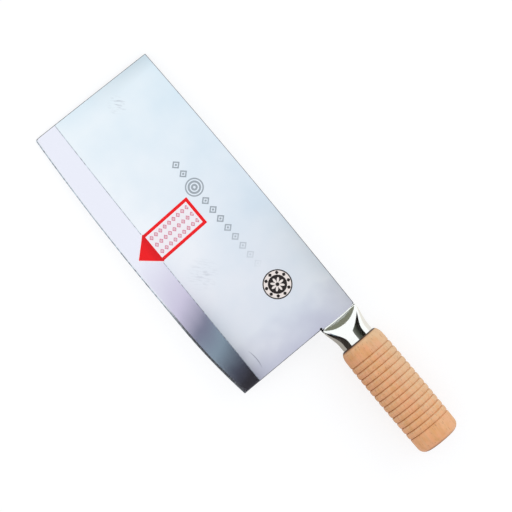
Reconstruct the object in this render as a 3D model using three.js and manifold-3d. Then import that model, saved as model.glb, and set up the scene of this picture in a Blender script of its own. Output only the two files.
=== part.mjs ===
// A broad rectangular cleaver: a tapered steel blade with a wide ground bevel, a welded rod tang,
// a plated ferrule that runs from a flat mouth at the blade to a round collar at the handle,
// and a ring-grooved wooden handle held by a washer and the peened end of the tang.
//
// Knife frame, in millimetres: x runs along the handle's axis from nose to butt, with x = 0 at the
// blade's rear edge; y points to the spine, with y = 0 on the handle's axis; z is the blade's
// thickness, with z = 0 on its middle plane. The finished knife lies on a table as it would be put
// down, with +Z up and the origin at the middle of the bottom of its box.
import * as THREE from "three";
import { mergeVertices } from "three/addons/utils/BufferGeometryUtils.js";
import Module from "manifold-3d";

// Fits
const CLEARANCE = 0.3; // between pieces that seat on each other

// Blade outline
const BLADE_LENGTH = 212.2; // along the spine, rear edge to nose
const NOSE_RAKE = 2.9; // how far the nose leans forward at the edge
const SPINE_HEIGHT = 13.3; // spine above the handle's axis, at both ends
const SPINE_CROWN = 1.1; // rise of the spine half way along
const BELLY_DEPTH = 82.8; // handle's axis to the lowest stretch of the edge
const NOSE_SWEEP = 120; // length over which the edge rises to the nose
const NOSE_RISE = 4.4;
const NOSE_CORNER = 1.6; // radius where nose and edge meet
const HEEL_SWEEP = 60; // length over which the edge rises to the heel
const HEEL_RISE = 4.4;

// Blade section
const SPINE_THICKNESS_HEEL = 4.6;
const SPINE_THICKNESS_NOSE = 3.6;
const SPINE_EASE = 0.4; // chamfer along the spine
const SHOULDER_DEPTH = 65.2; // handle's axis to the top of the ground bevel, at the heel
const SHOULDER_RISE = 3; // how much higher the bevel's top lies at the nose
const SHOULDER_THICKNESS = 3; // at the bevel's top, at the heel
const NOSE_CROWN = 0.15; // how far each cheek swells at the nose
const CROWN_REACH = 30; // length over which it does
const HONED_WIDTH = 1.2; // small sharpened bevel along the edge
const HONED_THICKNESS = 0.9;
const EDGE_THICKNESS = 0.16;

// Neck of the blade and the rod tang
const NECK_LENGTH = 8; // from the rear edge to the tongue
const NECK_SLACK = 1; // room beside the neck in the ferrule's mouth
const TONGUE_WIDTH = 6.4;
const TONGUE_LENGTH = 10; // the part that the tang's fork grips
const RELIEF_RADIUS = 0.9; // notch in the rear edge below the ferrule
const TANG_DIAMETER = 9;
const TANG_HEAD_DIAMETER = 13; // peened end
const TANG_HEAD_HEIGHT = 1.6;

// Ferrule
const FERRULE_LENGTH = 19.9;
const FERRULE_COLLAR_LENGTH = 4; // round stretch at the handle
const FERRULE_COLLAR_DIAMETER = 24.2;
const FERRULE_MOUTH_WIDTH = 28.3;
const FERRULE_MOUTH_DROP = 0.35; // middle of the mouth below the handle's axis
const FERRULE_MOUTH_SCALLOP = 0.6; // hollow of the mouth's rim, seen on the flat
const FERRULE_MOUTH_SQUARENESS = 7; // exponent of the mouth's section: 2 is round, more is squarer
const FERRULE_SWELL = 2.2; // how early the flat mouth rises to the round collar: 1 is even
const FERRULE_WALL = 0.7;

// Handle
const HANDLE_LENGTH = 83.3; // wood that shows, from ferrule to butt
const HANDLE_DIAMETER = 30.4;
const HANDLE_BARREL = 0.45; // extra radius half way along
const FRONT_ROUND = 7; // length of the rounded front shoulder
const BUTT_ROUND = 5.4; // length and depth of the rounded butt
const GROOVE_COUNT = 14;
const GROOVE_PITCH = 4.51;
const GROOVE_WIDTH = 1.3;
const GROOVE_DEPTH = 0.75;
const BEAD_CROWN = 0.3; // how far the wood swells between two grooves
const FIRST_GROOVE = 11.9; // from the front of the wood
const TENON_LENGTH = 10;
const TENON_TIP_DIAMETER = 14;

// Washer under the peened end
const WASHER_DIAMETER = 17;
const WASHER_THICKNESS = 1.5;

// Paper label on the cheek, with its point folded over the bevel
const LABEL_FROM_HEEL = 110.8; // rear edge to the label's middle
const LABEL_WIDTH = 21.4;
const LABEL_LENGTH = 38.3; // flat part, above the fold
const LABEL_POINT = 12.5; // length of the pointed part, below the fold
const LABEL_BARB = 1; // how far the point's base stands out at each side
const LABEL_THICKNESS = 0.2;
const LABEL_GAP = 0.1; // film of glue
const LABEL_LEAN = 0.026; // sideways drift of the label per millimetre of its length

// Facets
const BLADE_STEPS = 26;
const CHEEK_STEPS = 4;
const CORNER_STEPS = 4;
const FERRULE_STEPS = 14;
const FERRULE_SIDES = 60;
const TURNED_SIDES = 40;
const ROUND_STEPS = 5;
const NOTCH_SIDES = 20;

const wasm = await Module();
wasm.setup();

const { clamp, lerp, mapLinear, smoothstep } = THREE.MathUtils;

// Solids

// A closed surface through rings of equally many points, each ring anticlockwise seen from +x. The
// ends are capped, or the last ring is joined to the first.
function loft(rings, looped = false) {
  const count = rings[0].length;
  const index = [];
  const spans = looped ? rings.length : rings.length - 1;
  for (let i = 0; i < spans; i++) {
    const here = i * count;
    const next = ((i + 1) % rings.length) * count;
    for (let j = 0; j < count; j++) {
      const k = (j + 1) % count;
      index.push(here + j, here + k, next + k, here + j, next + k, next + j);
    }
  }
  if (!looped) {
    const last = (rings.length - 1) * count;
    for (let j = 1; j < count - 1; j++) {
      index.push(0, j + 1, j, last, last + j, last + j + 1);
    }
  }
  const geometry = new THREE.BufferGeometry().setFromPoints(rings.flat());
  geometry.setIndex(index);
  geometry.computeVertexNormals();
  return geometry;
}

// A solid of revolution about +x from points of (radius, x).
function turned(points) {
  const profile = points.map(([radius, x]) => new THREE.Vector2(radius, x));
  return new THREE.LatheGeometry(profile, TURNED_SIDES).rotateZ(-Math.PI / 2);
}

function toSolid(geometry) {
  const bare = new THREE.BufferGeometry();
  bare.setAttribute("position", geometry.getAttribute("position"));
  bare.setIndex(geometry.index);
  const merged = mergeVertices(bare);
  const vertProperties = merged.attributes.position.array;
  const triVerts = new Uint32Array(merged.index.array);
  return new wasm.Manifold(new wasm.Mesh({ numProp: 3, vertProperties, triVerts }));
}

function toGeometry(solid) {
  const { vertProperties, triVerts } = solid.getMesh();
  const geometry = new THREE.BufferGeometry();
  geometry.setAttribute("position", new THREE.BufferAttribute(vertProperties, 3));
  geometry.setIndex(new THREE.BufferAttribute(triVerts, 1));
  geometry.computeVertexNormals();
  return geometry;
}

// Blade lines, each a height over the handle's axis at a place along the blade
function spineY(x) {
  const half = BLADE_LENGTH / 2;
  return SPINE_HEIGHT + SPINE_CROWN * (1 - ((x + half) / half) ** 2);
}

function shoulderY(x) {
  return -SHOULDER_DEPTH + SHOULDER_RISE * (x / BLADE_LENGTH) ** 2;
}

function edgeY(x) {
  const toNose = Math.max(0, NOSE_SWEEP - BLADE_LENGTH - NOSE_RAKE - x);
  const toHeel = Math.max(0, HEEL_SWEEP + x);
  return -BELLY_DEPTH + NOSE_RISE * (toNose / NOSE_SWEEP) ** 2 + HEEL_RISE * (toHeel / HEEL_SWEEP) ** 2;
}

// Half the blade's thickness on its flat cheek, which is one plane that thins to the nose and edge. Only close
// to the nose it swells a touch half way down.
function cheekHalf(x, y) {
  const along = (SPINE_THICKNESS_HEEL - SPINE_THICKNESS_NOSE) / 2 / BLADE_LENGTH;
  const height = SPINE_HEIGHT + SHOULDER_DEPTH;
  const across = (SPINE_THICKNESS_HEEL - SHOULDER_THICKNESS) / 2 / height;
  const toNose = clamp(1 - (BLADE_LENGTH + x) / CROWN_REACH, 0, 1);
  const down = clamp((SPINE_HEIGHT - y) / height, 0, 1);
  const crown = NOSE_CROWN * toNose ** 2 * 4 * down * (1 - down);
  return SPINE_THICKNESS_HEEL / 2 + along * x - across * (SPINE_HEIGHT - y) + crown;
}

// Half the blade's thickness on the cheek or, below its shoulder, on the ground bevel.
function bladeHalf(x, y) {
  const shoulder = shoulderY(x);
  if (y >= shoulder) return cheekHalf(x, y);
  const honed = edgeY(x) + HONED_WIDTH;
  return mapLinear(y, shoulder, honed, cheekHalf(x, shoulder), HONED_THICKNESS / 2);
}

// One cross-section of the blade, at a share of the way from nose to rear edge.
function bladeRing(share) {
  const spineX = -BLADE_LENGTH * (1 - share);
  const edgeX = -(BLADE_LENGTH + NOSE_RAKE) * (1 - share);
  const spine = spineY(spineX);
  const intoCorner = Math.max(0, NOSE_CORNER - (BLADE_LENGTH + NOSE_RAKE) * share);
  const corner = NOSE_CORNER - Math.sqrt(NOSE_CORNER ** 2 - intoCorner ** 2);
  const edge = edgeY(edgeX) + corner;
  const xAt = (y) => mapLinear(y, spine, edge, spineX, edgeX);
  const eased = spine - SPINE_EASE;
  const shoulder = shoulderY(edgeX);
  const honed = edge + HONED_WIDTH;
  const upper = [[spine, cheekHalf(spineX, eased) - SPINE_EASE]];
  for (let i = 0; i <= CHEEK_STEPS; i++) {
    const y = lerp(eased, shoulder, i / CHEEK_STEPS);
    upper.push([y, cheekHalf(xAt(y), y)]);
  }
  upper.push([honed, HONED_THICKNESS / 2], [edge, EDGE_THICKNESS / 2]);
  const lower = upper.map(([y, half]) => [y, -half]).reverse();
  return [...upper, ...lower].map(([y, z]) => new THREE.Vector3(xAt(y), y, z));
}

// Places along the knife, and the mouth that the neck goes into
const mouthHalfWidth = FERRULE_MOUTH_WIDTH / 2;
const neckHalfWidth = mouthHalfWidth - FERRULE_WALL - NECK_SLACK;
const neckTop = neckHalfWidth - FERRULE_MOUTH_DROP;
const neckBottom = -neckHalfWidth - FERRULE_MOUTH_DROP;
const mouthHalfHeight = cheekHalf(NECK_LENGTH, neckTop) + CLEARANCE + FERRULE_WALL;
const collarRadius = FERRULE_COLLAR_DIAMETER / 2;
const ferruleEnd = CLEARANCE + FERRULE_LENGTH;
const woodFront = ferruleEnd + CLEARANCE;
const tenonFront = woodFront - TENON_LENGTH;
const woodEnd = woodFront + HANDLE_LENGTH;
const tongueEnd = NECK_LENGTH + TONGUE_LENGTH;

// What is kept of the ground plate, seen on its cheek: everything ahead of the rear edge, and behind
// it the neck that narrows to the tongue.
function plateOutline() {
  const outside = 2 * BLADE_LENGTH;
  const tongue = TONGUE_WIDTH / 2;
  const bend = NECK_LENGTH / 2;
  const outline = new THREE.Shape();
  outline.moveTo(-outside, -outside);
  outline.lineTo(0, -outside);
  outline.lineTo(0, neckBottom);
  outline.lineTo(CLEARANCE, neckBottom);
  outline.quadraticCurveTo(bend, -tongue, NECK_LENGTH, -tongue);
  outline.lineTo(tongueEnd, -tongue);
  outline.lineTo(tongueEnd, tongue);
  outline.lineTo(NECK_LENGTH, tongue);
  outline.quadraticCurveTo(bend, tongue, CLEARANCE, neckTop);
  outline.lineTo(0, neckTop);
  outline.lineTo(0, outside);
  outline.lineTo(-outside, outside);
  return outline;
}

function bladeGeometry() {
  const shares = [];
  for (let i = 0; i < CORNER_STEPS; i++) {
    const turn = (i / CORNER_STEPS) * (Math.PI / 2);
    shares.push((NOSE_CORNER * (1 - Math.cos(turn))) / (BLADE_LENGTH + NOSE_RAKE));
  }
  const afterCorner = NOSE_CORNER / (BLADE_LENGTH + NOSE_RAKE);
  for (let i = 0; i <= BLADE_STEPS; i++) {
    shares.push(lerp(afterCorner, 1, i / BLADE_STEPS));
  }
  shares.push(1 + (tongueEnd + CLEARANCE) / BLADE_LENGTH);
  const plate = toSolid(loft(shares.map(bladeRing)));
  const throughPlate = 2 * SPINE_THICKNESS_HEEL;
  const extrusion = { depth: throughPlate, bevelEnabled: false, curveSegments: ROUND_STEPS };
  const kept = new THREE.ExtrudeGeometry(plateOutline(), extrusion).translate(0, 0, -throughPlate / 2);
  const relief = new THREE.CylinderGeometry(RELIEF_RADIUS, RELIEF_RADIUS, throughPlate, NOTCH_SIDES);
  relief.rotateX(Math.PI / 2).translate(0, neckBottom - RELIEF_RADIUS, 0);
  return toGeometry(plate.intersect(toSolid(kept)).subtract(toSolid(relief)));
}

// The rod tang: a fork welded over the blade's tongue, a plain shank and a peened head at the butt.
function tangGeometry() {
  const radius = TANG_DIAMETER / 2;
  const front = NECK_LENGTH + CLEARANCE;
  const headBase = woodEnd - TANG_HEAD_HEIGHT - CLEARANCE;
  const profile = [
    [0, front],
    [radius, front],
    [radius, headBase],
    [TANG_HEAD_DIAMETER / 2, headBase],
  ];
  for (let i = 1; i <= ROUND_STEPS; i++) {
    const turn = (i / ROUND_STEPS) * (Math.PI / 2);
    const crown = (TANG_HEAD_DIAMETER / 2) * Math.cos(turn);
    profile.push([i < ROUND_STEPS ? crown : 0, headBase + TANG_HEAD_HEIGHT * Math.sin(turn)]);
  }
  const slotEnd = tongueEnd + CLEARANCE;
  const slotLength = TONGUE_LENGTH + TANG_DIAMETER;
  const slotWidth = 2 * (cheekHalf(tongueEnd, TONGUE_WIDTH / 2) + CLEARANCE);
  const slot = new THREE.BoxGeometry(slotLength, 2 * TANG_DIAMETER, slotWidth);
  slot.translate(slotEnd - slotLength / 2, 0, 0);
  return toGeometry(toSolid(turned(profile)).subtract(toSolid(slot)));
}

// One ring of the ferrule at a share of the way from its mouth to its rear rim, taken in by an inset.
// The section goes from a flat box with round corners to a circle.
function ferruleRing(share, inset) {
  const flare = Math.min(1, (share * FERRULE_LENGTH) / (FERRULE_LENGTH - FERRULE_COLLAR_LENGTH));
  const widen = smoothstep(flare, 0, 1);
  const rise = 1 - (1 - flare) ** FERRULE_SWELL;
  const halfWidth = lerp(mouthHalfWidth, collarRadius, widen) - inset;
  const halfHeight = lerp(mouthHalfHeight, collarRadius, rise) - inset;
  const middle = lerp(-FERRULE_MOUTH_DROP, 0, widen);
  const power = 2 / lerp(FERRULE_MOUTH_SQUARENESS, 2, Math.sqrt(rise));
  const ring = [];
  for (let i = 0; i < FERRULE_SIDES; i++) {
    const turn = (i / FERRULE_SIDES) * 2 * Math.PI;
    const across = Math.sign(Math.cos(turn)) * Math.abs(Math.cos(turn)) ** power;
    const up = Math.sign(Math.sin(turn)) * Math.abs(Math.sin(turn)) ** power;
    const front = CLEARANCE + FERRULE_MOUTH_SCALLOP * (1 - across ** 2);
    const x = lerp(front, ferruleEnd, share);
    ring.push(new THREE.Vector3(x, middle + halfWidth * across, halfHeight * up));
  }
  return ring;
}

function ferruleGeometry() {
  const outer = [];
  const inner = [];
  for (let i = 0; i <= FERRULE_STEPS; i++) {
    outer.push(ferruleRing(i / FERRULE_STEPS, 0));
    inner.unshift(ferruleRing(i / FERRULE_STEPS, FERRULE_WALL));
  }
  return loft([...outer, ...inner], true);
}

// Radius of the grip's surface, a slight barrel.
function gripAt(x) {
  const fromMiddle = (x - woodFront - HANDLE_LENGTH / 2) / (HANDLE_LENGTH / 2);
  return HANDLE_DIAMETER / 2 + HANDLE_BARREL * (1 - fromMiddle ** 2);
}

const tangBore = TANG_DIAMETER / 2 + CLEARANCE;
const washerSeat = woodEnd - TANG_HEAD_HEIGHT - WASHER_THICKNESS - 3 * CLEARANCE;

// The turned handle, from the tenon's tip over the ringed grip to the butt, and back down the bore.
function handleGeometry() {
  const tenonRadius = collarRadius - FERRULE_WALL - CLEARANCE;
  const profile = [
    [TENON_TIP_DIAMETER / 2, tenonFront],
    [tenonRadius, woodFront - FERRULE_COLLAR_LENGTH / 2],
    [tenonRadius, woodFront],
  ];
  for (let i = 0; i <= ROUND_STEPS; i++) {
    const turn = (i / ROUND_STEPS) * (Math.PI / 2);
    const x = woodFront + FRONT_ROUND * (1 - Math.cos(turn));
    profile.push([lerp(collarRadius, gripAt(woodFront + FRONT_ROUND), Math.sin(turn)), x]);
  }
  for (let i = 0; i < GROOVE_COUNT; i++) {
    const x = woodFront + FIRST_GROOVE + i * GROOVE_PITCH;
    profile.push([gripAt(x), x - GROOVE_WIDTH / 2]);
    profile.push([gripAt(x) - GROOVE_DEPTH, x]);
    profile.push([gripAt(x), x + GROOVE_WIDTH / 2]);
    const between = x + GROOVE_PITCH / 2;
    if (i < GROOVE_COUNT - 1) profile.push([gripAt(between) + BEAD_CROWN, between]);
  }
  for (let i = 0; i <= ROUND_STEPS; i++) {
    const turn = (i / ROUND_STEPS) * (Math.PI / 2);
    const radius = gripAt(woodEnd - BUTT_ROUND) - BUTT_ROUND * (1 - Math.cos(turn));
    profile.push([radius, woodEnd - BUTT_ROUND * (1 - Math.sin(turn))]);
  }
  const washerBore = WASHER_DIAMETER / 2 + CLEARANCE;
  profile.push([washerBore, woodEnd], [washerBore, washerSeat]);
  profile.push([tangBore, washerSeat], [tangBore, tenonFront]);
  profile.push(profile[0]);
  return turned(profile);
}

function washerGeometry() {
  const inside = tangBore;
  const outside = WASHER_DIAMETER / 2;
  const back = washerSeat + CLEARANCE;
  const front = back + WASHER_THICKNESS;
  return turned([
    [inside, back],
    [outside, back],
    [outside, front],
    [inside, front],
    [inside, back],
  ]);
}

// The label lies on the cheek, and its point is folded over the bevel's shoulder.
function labelGeometry() {
  const middle = -LABEL_FROM_HEEL;
  const fold = shoulderY(middle);
  const half = LABEL_WIDTH / 2;
  const barbed = half + LABEL_BARB;
  const tip = LABEL_BARB / 2;
  const stations = [
    [fold - LABEL_POINT, tip],
    [fold - LABEL_GAP, barbed],
    [fold, barbed],
    [fold + LABEL_BARB, half],
    [fold + LABEL_LENGTH, half],
  ];
  const lift = (reach, y, up) => {
    const x = middle + reach + (fold - y) * LABEL_LEAN;
    return new THREE.Vector3(x, y, bladeHalf(x, y) + LABEL_GAP + up);
  };
  const rings = stations.map(([y, reach]) => [
    lift(-reach, y, 0),
    lift(-reach, y, LABEL_THICKNESS),
    lift(reach, y, LABEL_THICKNESS),
    lift(reach, y, 0),
  ]);
  return loft(rings);
}

// Finishes
const satinSteel = new THREE.MeshStandardMaterial({ color: 0xd9e0e8, roughness: 0.35, metalness: 1 });
const rawSteel = new THREE.MeshStandardMaterial({ color: 0x8d9196, roughness: 0.5, metalness: 1 });
const platedSteel = new THREE.MeshStandardMaterial({ color: 0xe4e6e4, roughness: 0.08, metalness: 1 });
const paleWood = new THREE.MeshStandardMaterial({ color: 0xdfaa78, roughness: 0.6, metalness: 0 });
const redPaper = new THREE.MeshStandardMaterial({ color: 0xe3242b, roughness: 0.7, metalness: 0 });

function piece(name, geometry, material) {
  const mesh = new THREE.Mesh(geometry, material);
  mesh.name = name;
  return mesh;
}

const knife = new THREE.Group();
knife.add(
  piece("blade", bladeGeometry(), satinSteel),
  piece("tang", tangGeometry(), rawSteel),
  piece("ferrule", ferruleGeometry(), platedSteel),
  piece("handle", handleGeometry(), paleWood),
  piece("butt_washer", washerGeometry(), rawSteel),
  piece("label", labelGeometry(), redPaper),
);

// On a table the knife rests on the lower cheek at the nose, just above the bevel, and on the handle's front
// shoulder.
function restingUp() {
  const noseRing = bladeRing(0);
  const underShoulder = noseRing.at(-2 - CHEEK_STEPS);
  const underCheek = noseRing.at(-1 - CHEEK_STEPS);
  const gripFront = woodFront + FRONT_ROUND;
  const underGrip = new THREE.Vector3(gripFront, 0, -gripAt(gripFront));
  const across = underShoulder.clone().sub(underCheek);
  const along = underGrip.sub(underCheek);
  return across.cross(along).normalize();
}

knife.quaternion.setFromUnitVectors(restingUp(), new THREE.Vector3(0, 0, 1));
const box = new THREE.Box3().setFromObject(knife, true);
const middle = box.getCenter(new THREE.Vector3());
knife.position.set(-middle.x, -middle.y, -box.min.z);

const cleaver = new THREE.Group();
cleaver.add(knife);

export default cleaver;
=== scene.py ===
"""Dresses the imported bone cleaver: a satin blade with a polished bevel, a plated ferrule, a ring-grooved
wooden grip and a paper label.

Every piece is shaped in the knife's own frame, in metres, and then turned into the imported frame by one
matrix. There x runs along the handle's axis from nose to butt, with x = 0 at the blade's rear edge. y points
to the spine, with y = 0 on the handle's axis. z is the blade's thickness, with z = 0 on its middle plane.
"""

import functools
import math

import bmesh
import bpy
from bpy.props import FloatProperty, FloatVectorProperty, IntProperty, PointerProperty
from bpy.types import Operator, Panel, PropertyGroup
from mathutils import Matrix, Vector, noise


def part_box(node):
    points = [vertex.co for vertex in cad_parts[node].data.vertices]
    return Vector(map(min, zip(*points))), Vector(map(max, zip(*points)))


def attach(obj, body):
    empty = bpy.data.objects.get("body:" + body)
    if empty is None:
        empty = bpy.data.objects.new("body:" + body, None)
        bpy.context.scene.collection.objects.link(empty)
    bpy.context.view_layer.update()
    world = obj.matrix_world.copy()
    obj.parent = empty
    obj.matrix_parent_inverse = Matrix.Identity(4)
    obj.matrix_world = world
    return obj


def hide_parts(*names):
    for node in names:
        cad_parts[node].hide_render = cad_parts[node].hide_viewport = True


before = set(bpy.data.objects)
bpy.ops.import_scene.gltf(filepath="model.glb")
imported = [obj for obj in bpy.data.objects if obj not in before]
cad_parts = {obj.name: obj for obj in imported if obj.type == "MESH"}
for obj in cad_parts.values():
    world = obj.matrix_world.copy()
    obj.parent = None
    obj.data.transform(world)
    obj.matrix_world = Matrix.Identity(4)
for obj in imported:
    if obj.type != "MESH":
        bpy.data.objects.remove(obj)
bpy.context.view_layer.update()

bl_info = {
    "name": "Bone Cleaver",
    "version": (1, 0, 0),
    "blender": (4, 5, 0),
    "location": "View3D > Sidebar > Cleaver",
    "description": "Builds a bone cleaver piece by piece around its packed solids",
    "category": "Add Mesh",
}

BODY = "root"
MM = 0.001

# Point attributes that the materials read
PLACE = "knife_mm"  # place in the knife's frame, in millimetres
# On the grip, values above 1 are painted shadow at the joint and the butt's rim, and values below 0 a lip
# painted light.
HOLLOW = "hollow"  # on the grip: 1 at the bottom of a groove, more in grime, less than 0 on a rubbed lip

# Part of the way up the nose, from the bevel to the spine, over which the swollen cheek touches the table
RESTING_SHARE = 0.25

# Finishes of the blade, in the order of its material slots
SATIN, POLISHED, HONED, EASED, LINE = range(5)


# Properties

def linear(hex_colour):
    """An sRGB hex colour, such as #DFAA78, as linear red, green and blue."""
    levels = [int(hex_colour[i:i + 2], 16) / 255 for i in (1, 3, 5)]
    return tuple(v / 12.92 if v <= 0.04045 else ((v + 0.055) / 1.055) ** 2.4 for v in levels)


def length(name, millimetres, description):
    unit = {"subtype": "DISTANCE", "unit": "LENGTH", "precision": 5}
    return FloatProperty(name=name, description=description, default=millimetres * MM, **unit)


def ratio(name, value, description):
    return FloatProperty(name=name, description=description, default=value, precision=4)


def colour(name, hex_colour, description):
    unit = {"subtype": "COLOR", "size": 3, "min": 0, "max": 1}
    return FloatVectorProperty(name=name, description=description, default=linear(hex_colour), **unit)


class BladeSizes(PropertyGroup):
    """Ground steel blade with its neck and tongue"""

    length: length("Length", 212.2, "Rear edge to nose along the spine")
    nose_rake: length("Nose rake", 2.9, "How far the nose leans forward at the edge")
    spine_height: length("Spine height", 13.3, "Spine above the handle's axis at both ends")
    spine_crown: length("Spine crown", 1.1, "Rise of the spine half way along")
    belly_depth: length("Belly depth", 82.8, "Handle's axis to the lowest stretch of the edge")
    nose_sweep: length("Nose sweep", 120, "Length over which the edge rises to the nose")
    nose_rise: length("Nose rise", 4.4, "How far the edge rises to the nose")
    nose_corner: length("Nose corner", 1.6, "Radius where nose and edge meet")
    heel_sweep: length("Heel sweep", 60, "Length over which the edge rises to the heel")
    heel_rise: length("Heel rise", 4.4, "How far the edge rises to the heel")
    heel_thickness: length("Heel thickness", 4.6, "Spine thickness at the rear edge")
    nose_thickness: length("Nose thickness", 3.6, "Spine thickness at the nose")
    ease: length("Eased corners", 0.4, "Radius along the spine, the nose and the rear edge")
    shoulder_depth: length("Shoulder depth", 65.2, "Handle's axis to the bevel's top at the heel")
    shoulder_rise: length("Shoulder rise", 3, "How much higher the bevel's top lies at the nose")
    shoulder_thickness: length("Shoulder thickness", 3, "Thickness at the bevel's top at the heel")
    nose_crown: length("Nose crown", 0.15, "How far each cheek swells at the nose")
    crown_reach: length("Crown reach", 30, "Length over which the cheek swells")
    grind_line: length("Grind line", 0.4, "Width of the fine step where cheek and bevel meet")
    honed_width: length("Honed width", 1.5, "Width of the small sharpened bevel")
    honed_thickness: length("Honed thickness", 0.9, "Thickness where the honed bevel starts")
    edge_thickness: length("Edge thickness", 0.16, "Thickness of the cutting edge")
    neck_length: length("Neck length", 8, "Rear edge to the tongue")
    neck_slack: length("Neck slack", 1, "Room beside the neck in the ferrule's mouth")
    tongue_width: length("Tongue width", 6.4, "Width of the tongue in the tang's fork")
    tongue_length: length("Tongue length", 10, "Length of the tongue in the tang's fork")
    notch: length("Notch", 0.9, "Radius of the relief notch below the ferrule")


class FerruleSizes(PropertyGroup):
    """Plated shell from the flat mouth to the round collar"""

    length: length("Length", 19.9, "Mouth corners to rear rim")
    collar_length: length("Collar length", 4, "Round stretch at the handle")
    collar_diameter: length("Collar diameter", 24.2, "Outside of the round collar")
    mouth_width: length("Mouth width", 28.3, "Outside width of the flat mouth")
    mouth_drop: length("Mouth drop", 0.35, "Middle of the mouth below the handle's axis")
    scallop: length("Scallop", 0.6, "Hollow of the mouth's rim seen on the flat")
    squareness: ratio("Mouth squareness", 7, "Exponent of the mouth's section, where 2 is round")
    rim: length("Rim", 0.7, "Flat rim of the mouth before it rises")
    swell: ratio("Swell", 1.85, "How early the mouth rises to the collar, where 1 is even")
    wall: length("Wall", 0.7, "Thickness of the shell")


class HandleSizes(PropertyGroup):
    """Turned grip with its tenon, bore and counterbore"""

    length: length("Length", 83.3, "Wood that shows, from ferrule to butt")
    diameter: length("Diameter", 30.4, "Grip diameter at its ends")
    barrel: length("Barrel", 0.45, "Extra radius half way along")
    front_round: length("Front round", 7, "Length of the rounded front shoulder")
    butt_round: length("Butt round", 5.4, "Length and depth of the rounded butt")
    grooves: IntProperty(name="Grooves", description="Number of ring grooves", default=14, min=2)
    groove_pitch: length("Groove pitch", 4.51, "Spacing of the grooves")
    groove_width: length("Groove width", 1.3, "Width of a groove at its lips")
    groove_depth: length("Groove depth", 0.65, "Depth of a groove")
    bead_crown: length("Bead crown", 0.18, "How far the wood swells between two grooves")
    first_groove: length("First groove", 11.9, "Front of the wood to the first groove")
    tenon_length: length("Tenon length", 10, "Part of the wood inside the ferrule")
    tenon_tip: length("Tenon tip", 14, "Diameter of the tenon's tip")


class ButtSizes(PropertyGroup):
    """Rod tang with its peened end, and the washer under it"""

    tang_diameter: length("Tang diameter", 9, "Diameter of the rod")
    head_diameter: length("Head diameter", 13, "Diameter of the peened end")
    head_height: length("Head height", 1.6, "Height of the peened end")
    washer_diameter: length("Washer diameter", 17, "Outside of the washer")
    washer_thickness: length("Washer thickness", 1.5, "Thickness of the washer")
    washer_ease: length("Washer ease", 0.25, "Rounding of the washer's rims")
    clearance: length("Clearance", 0.3, "Gap between pieces that seat on each other")


class LabelSizes(PropertyGroup):
    """Paper label with its point folded over the bevel"""

    from_heel: length("From heel", 110.8, "Rear edge to the label's middle")
    width: length("Width", 21.4, "Width of the flat part")
    length: length("Length", 38.3, "Length of the flat part above the fold")
    point: length("Point", 12.5, "Length of the pointed part below the fold")
    barb: length("Barb", 1, "How far the point's base stands out at each side")
    border: length("Border", 2.1, "Width of the printed border")
    thickness: length("Thickness", 0.14, "Thickness of the paper")
    glue: length("Glue", 0.1, "Film of glue under the paper")
    lean: ratio("Lean", 0.026, "Sideways drift of the label over its length")


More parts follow.
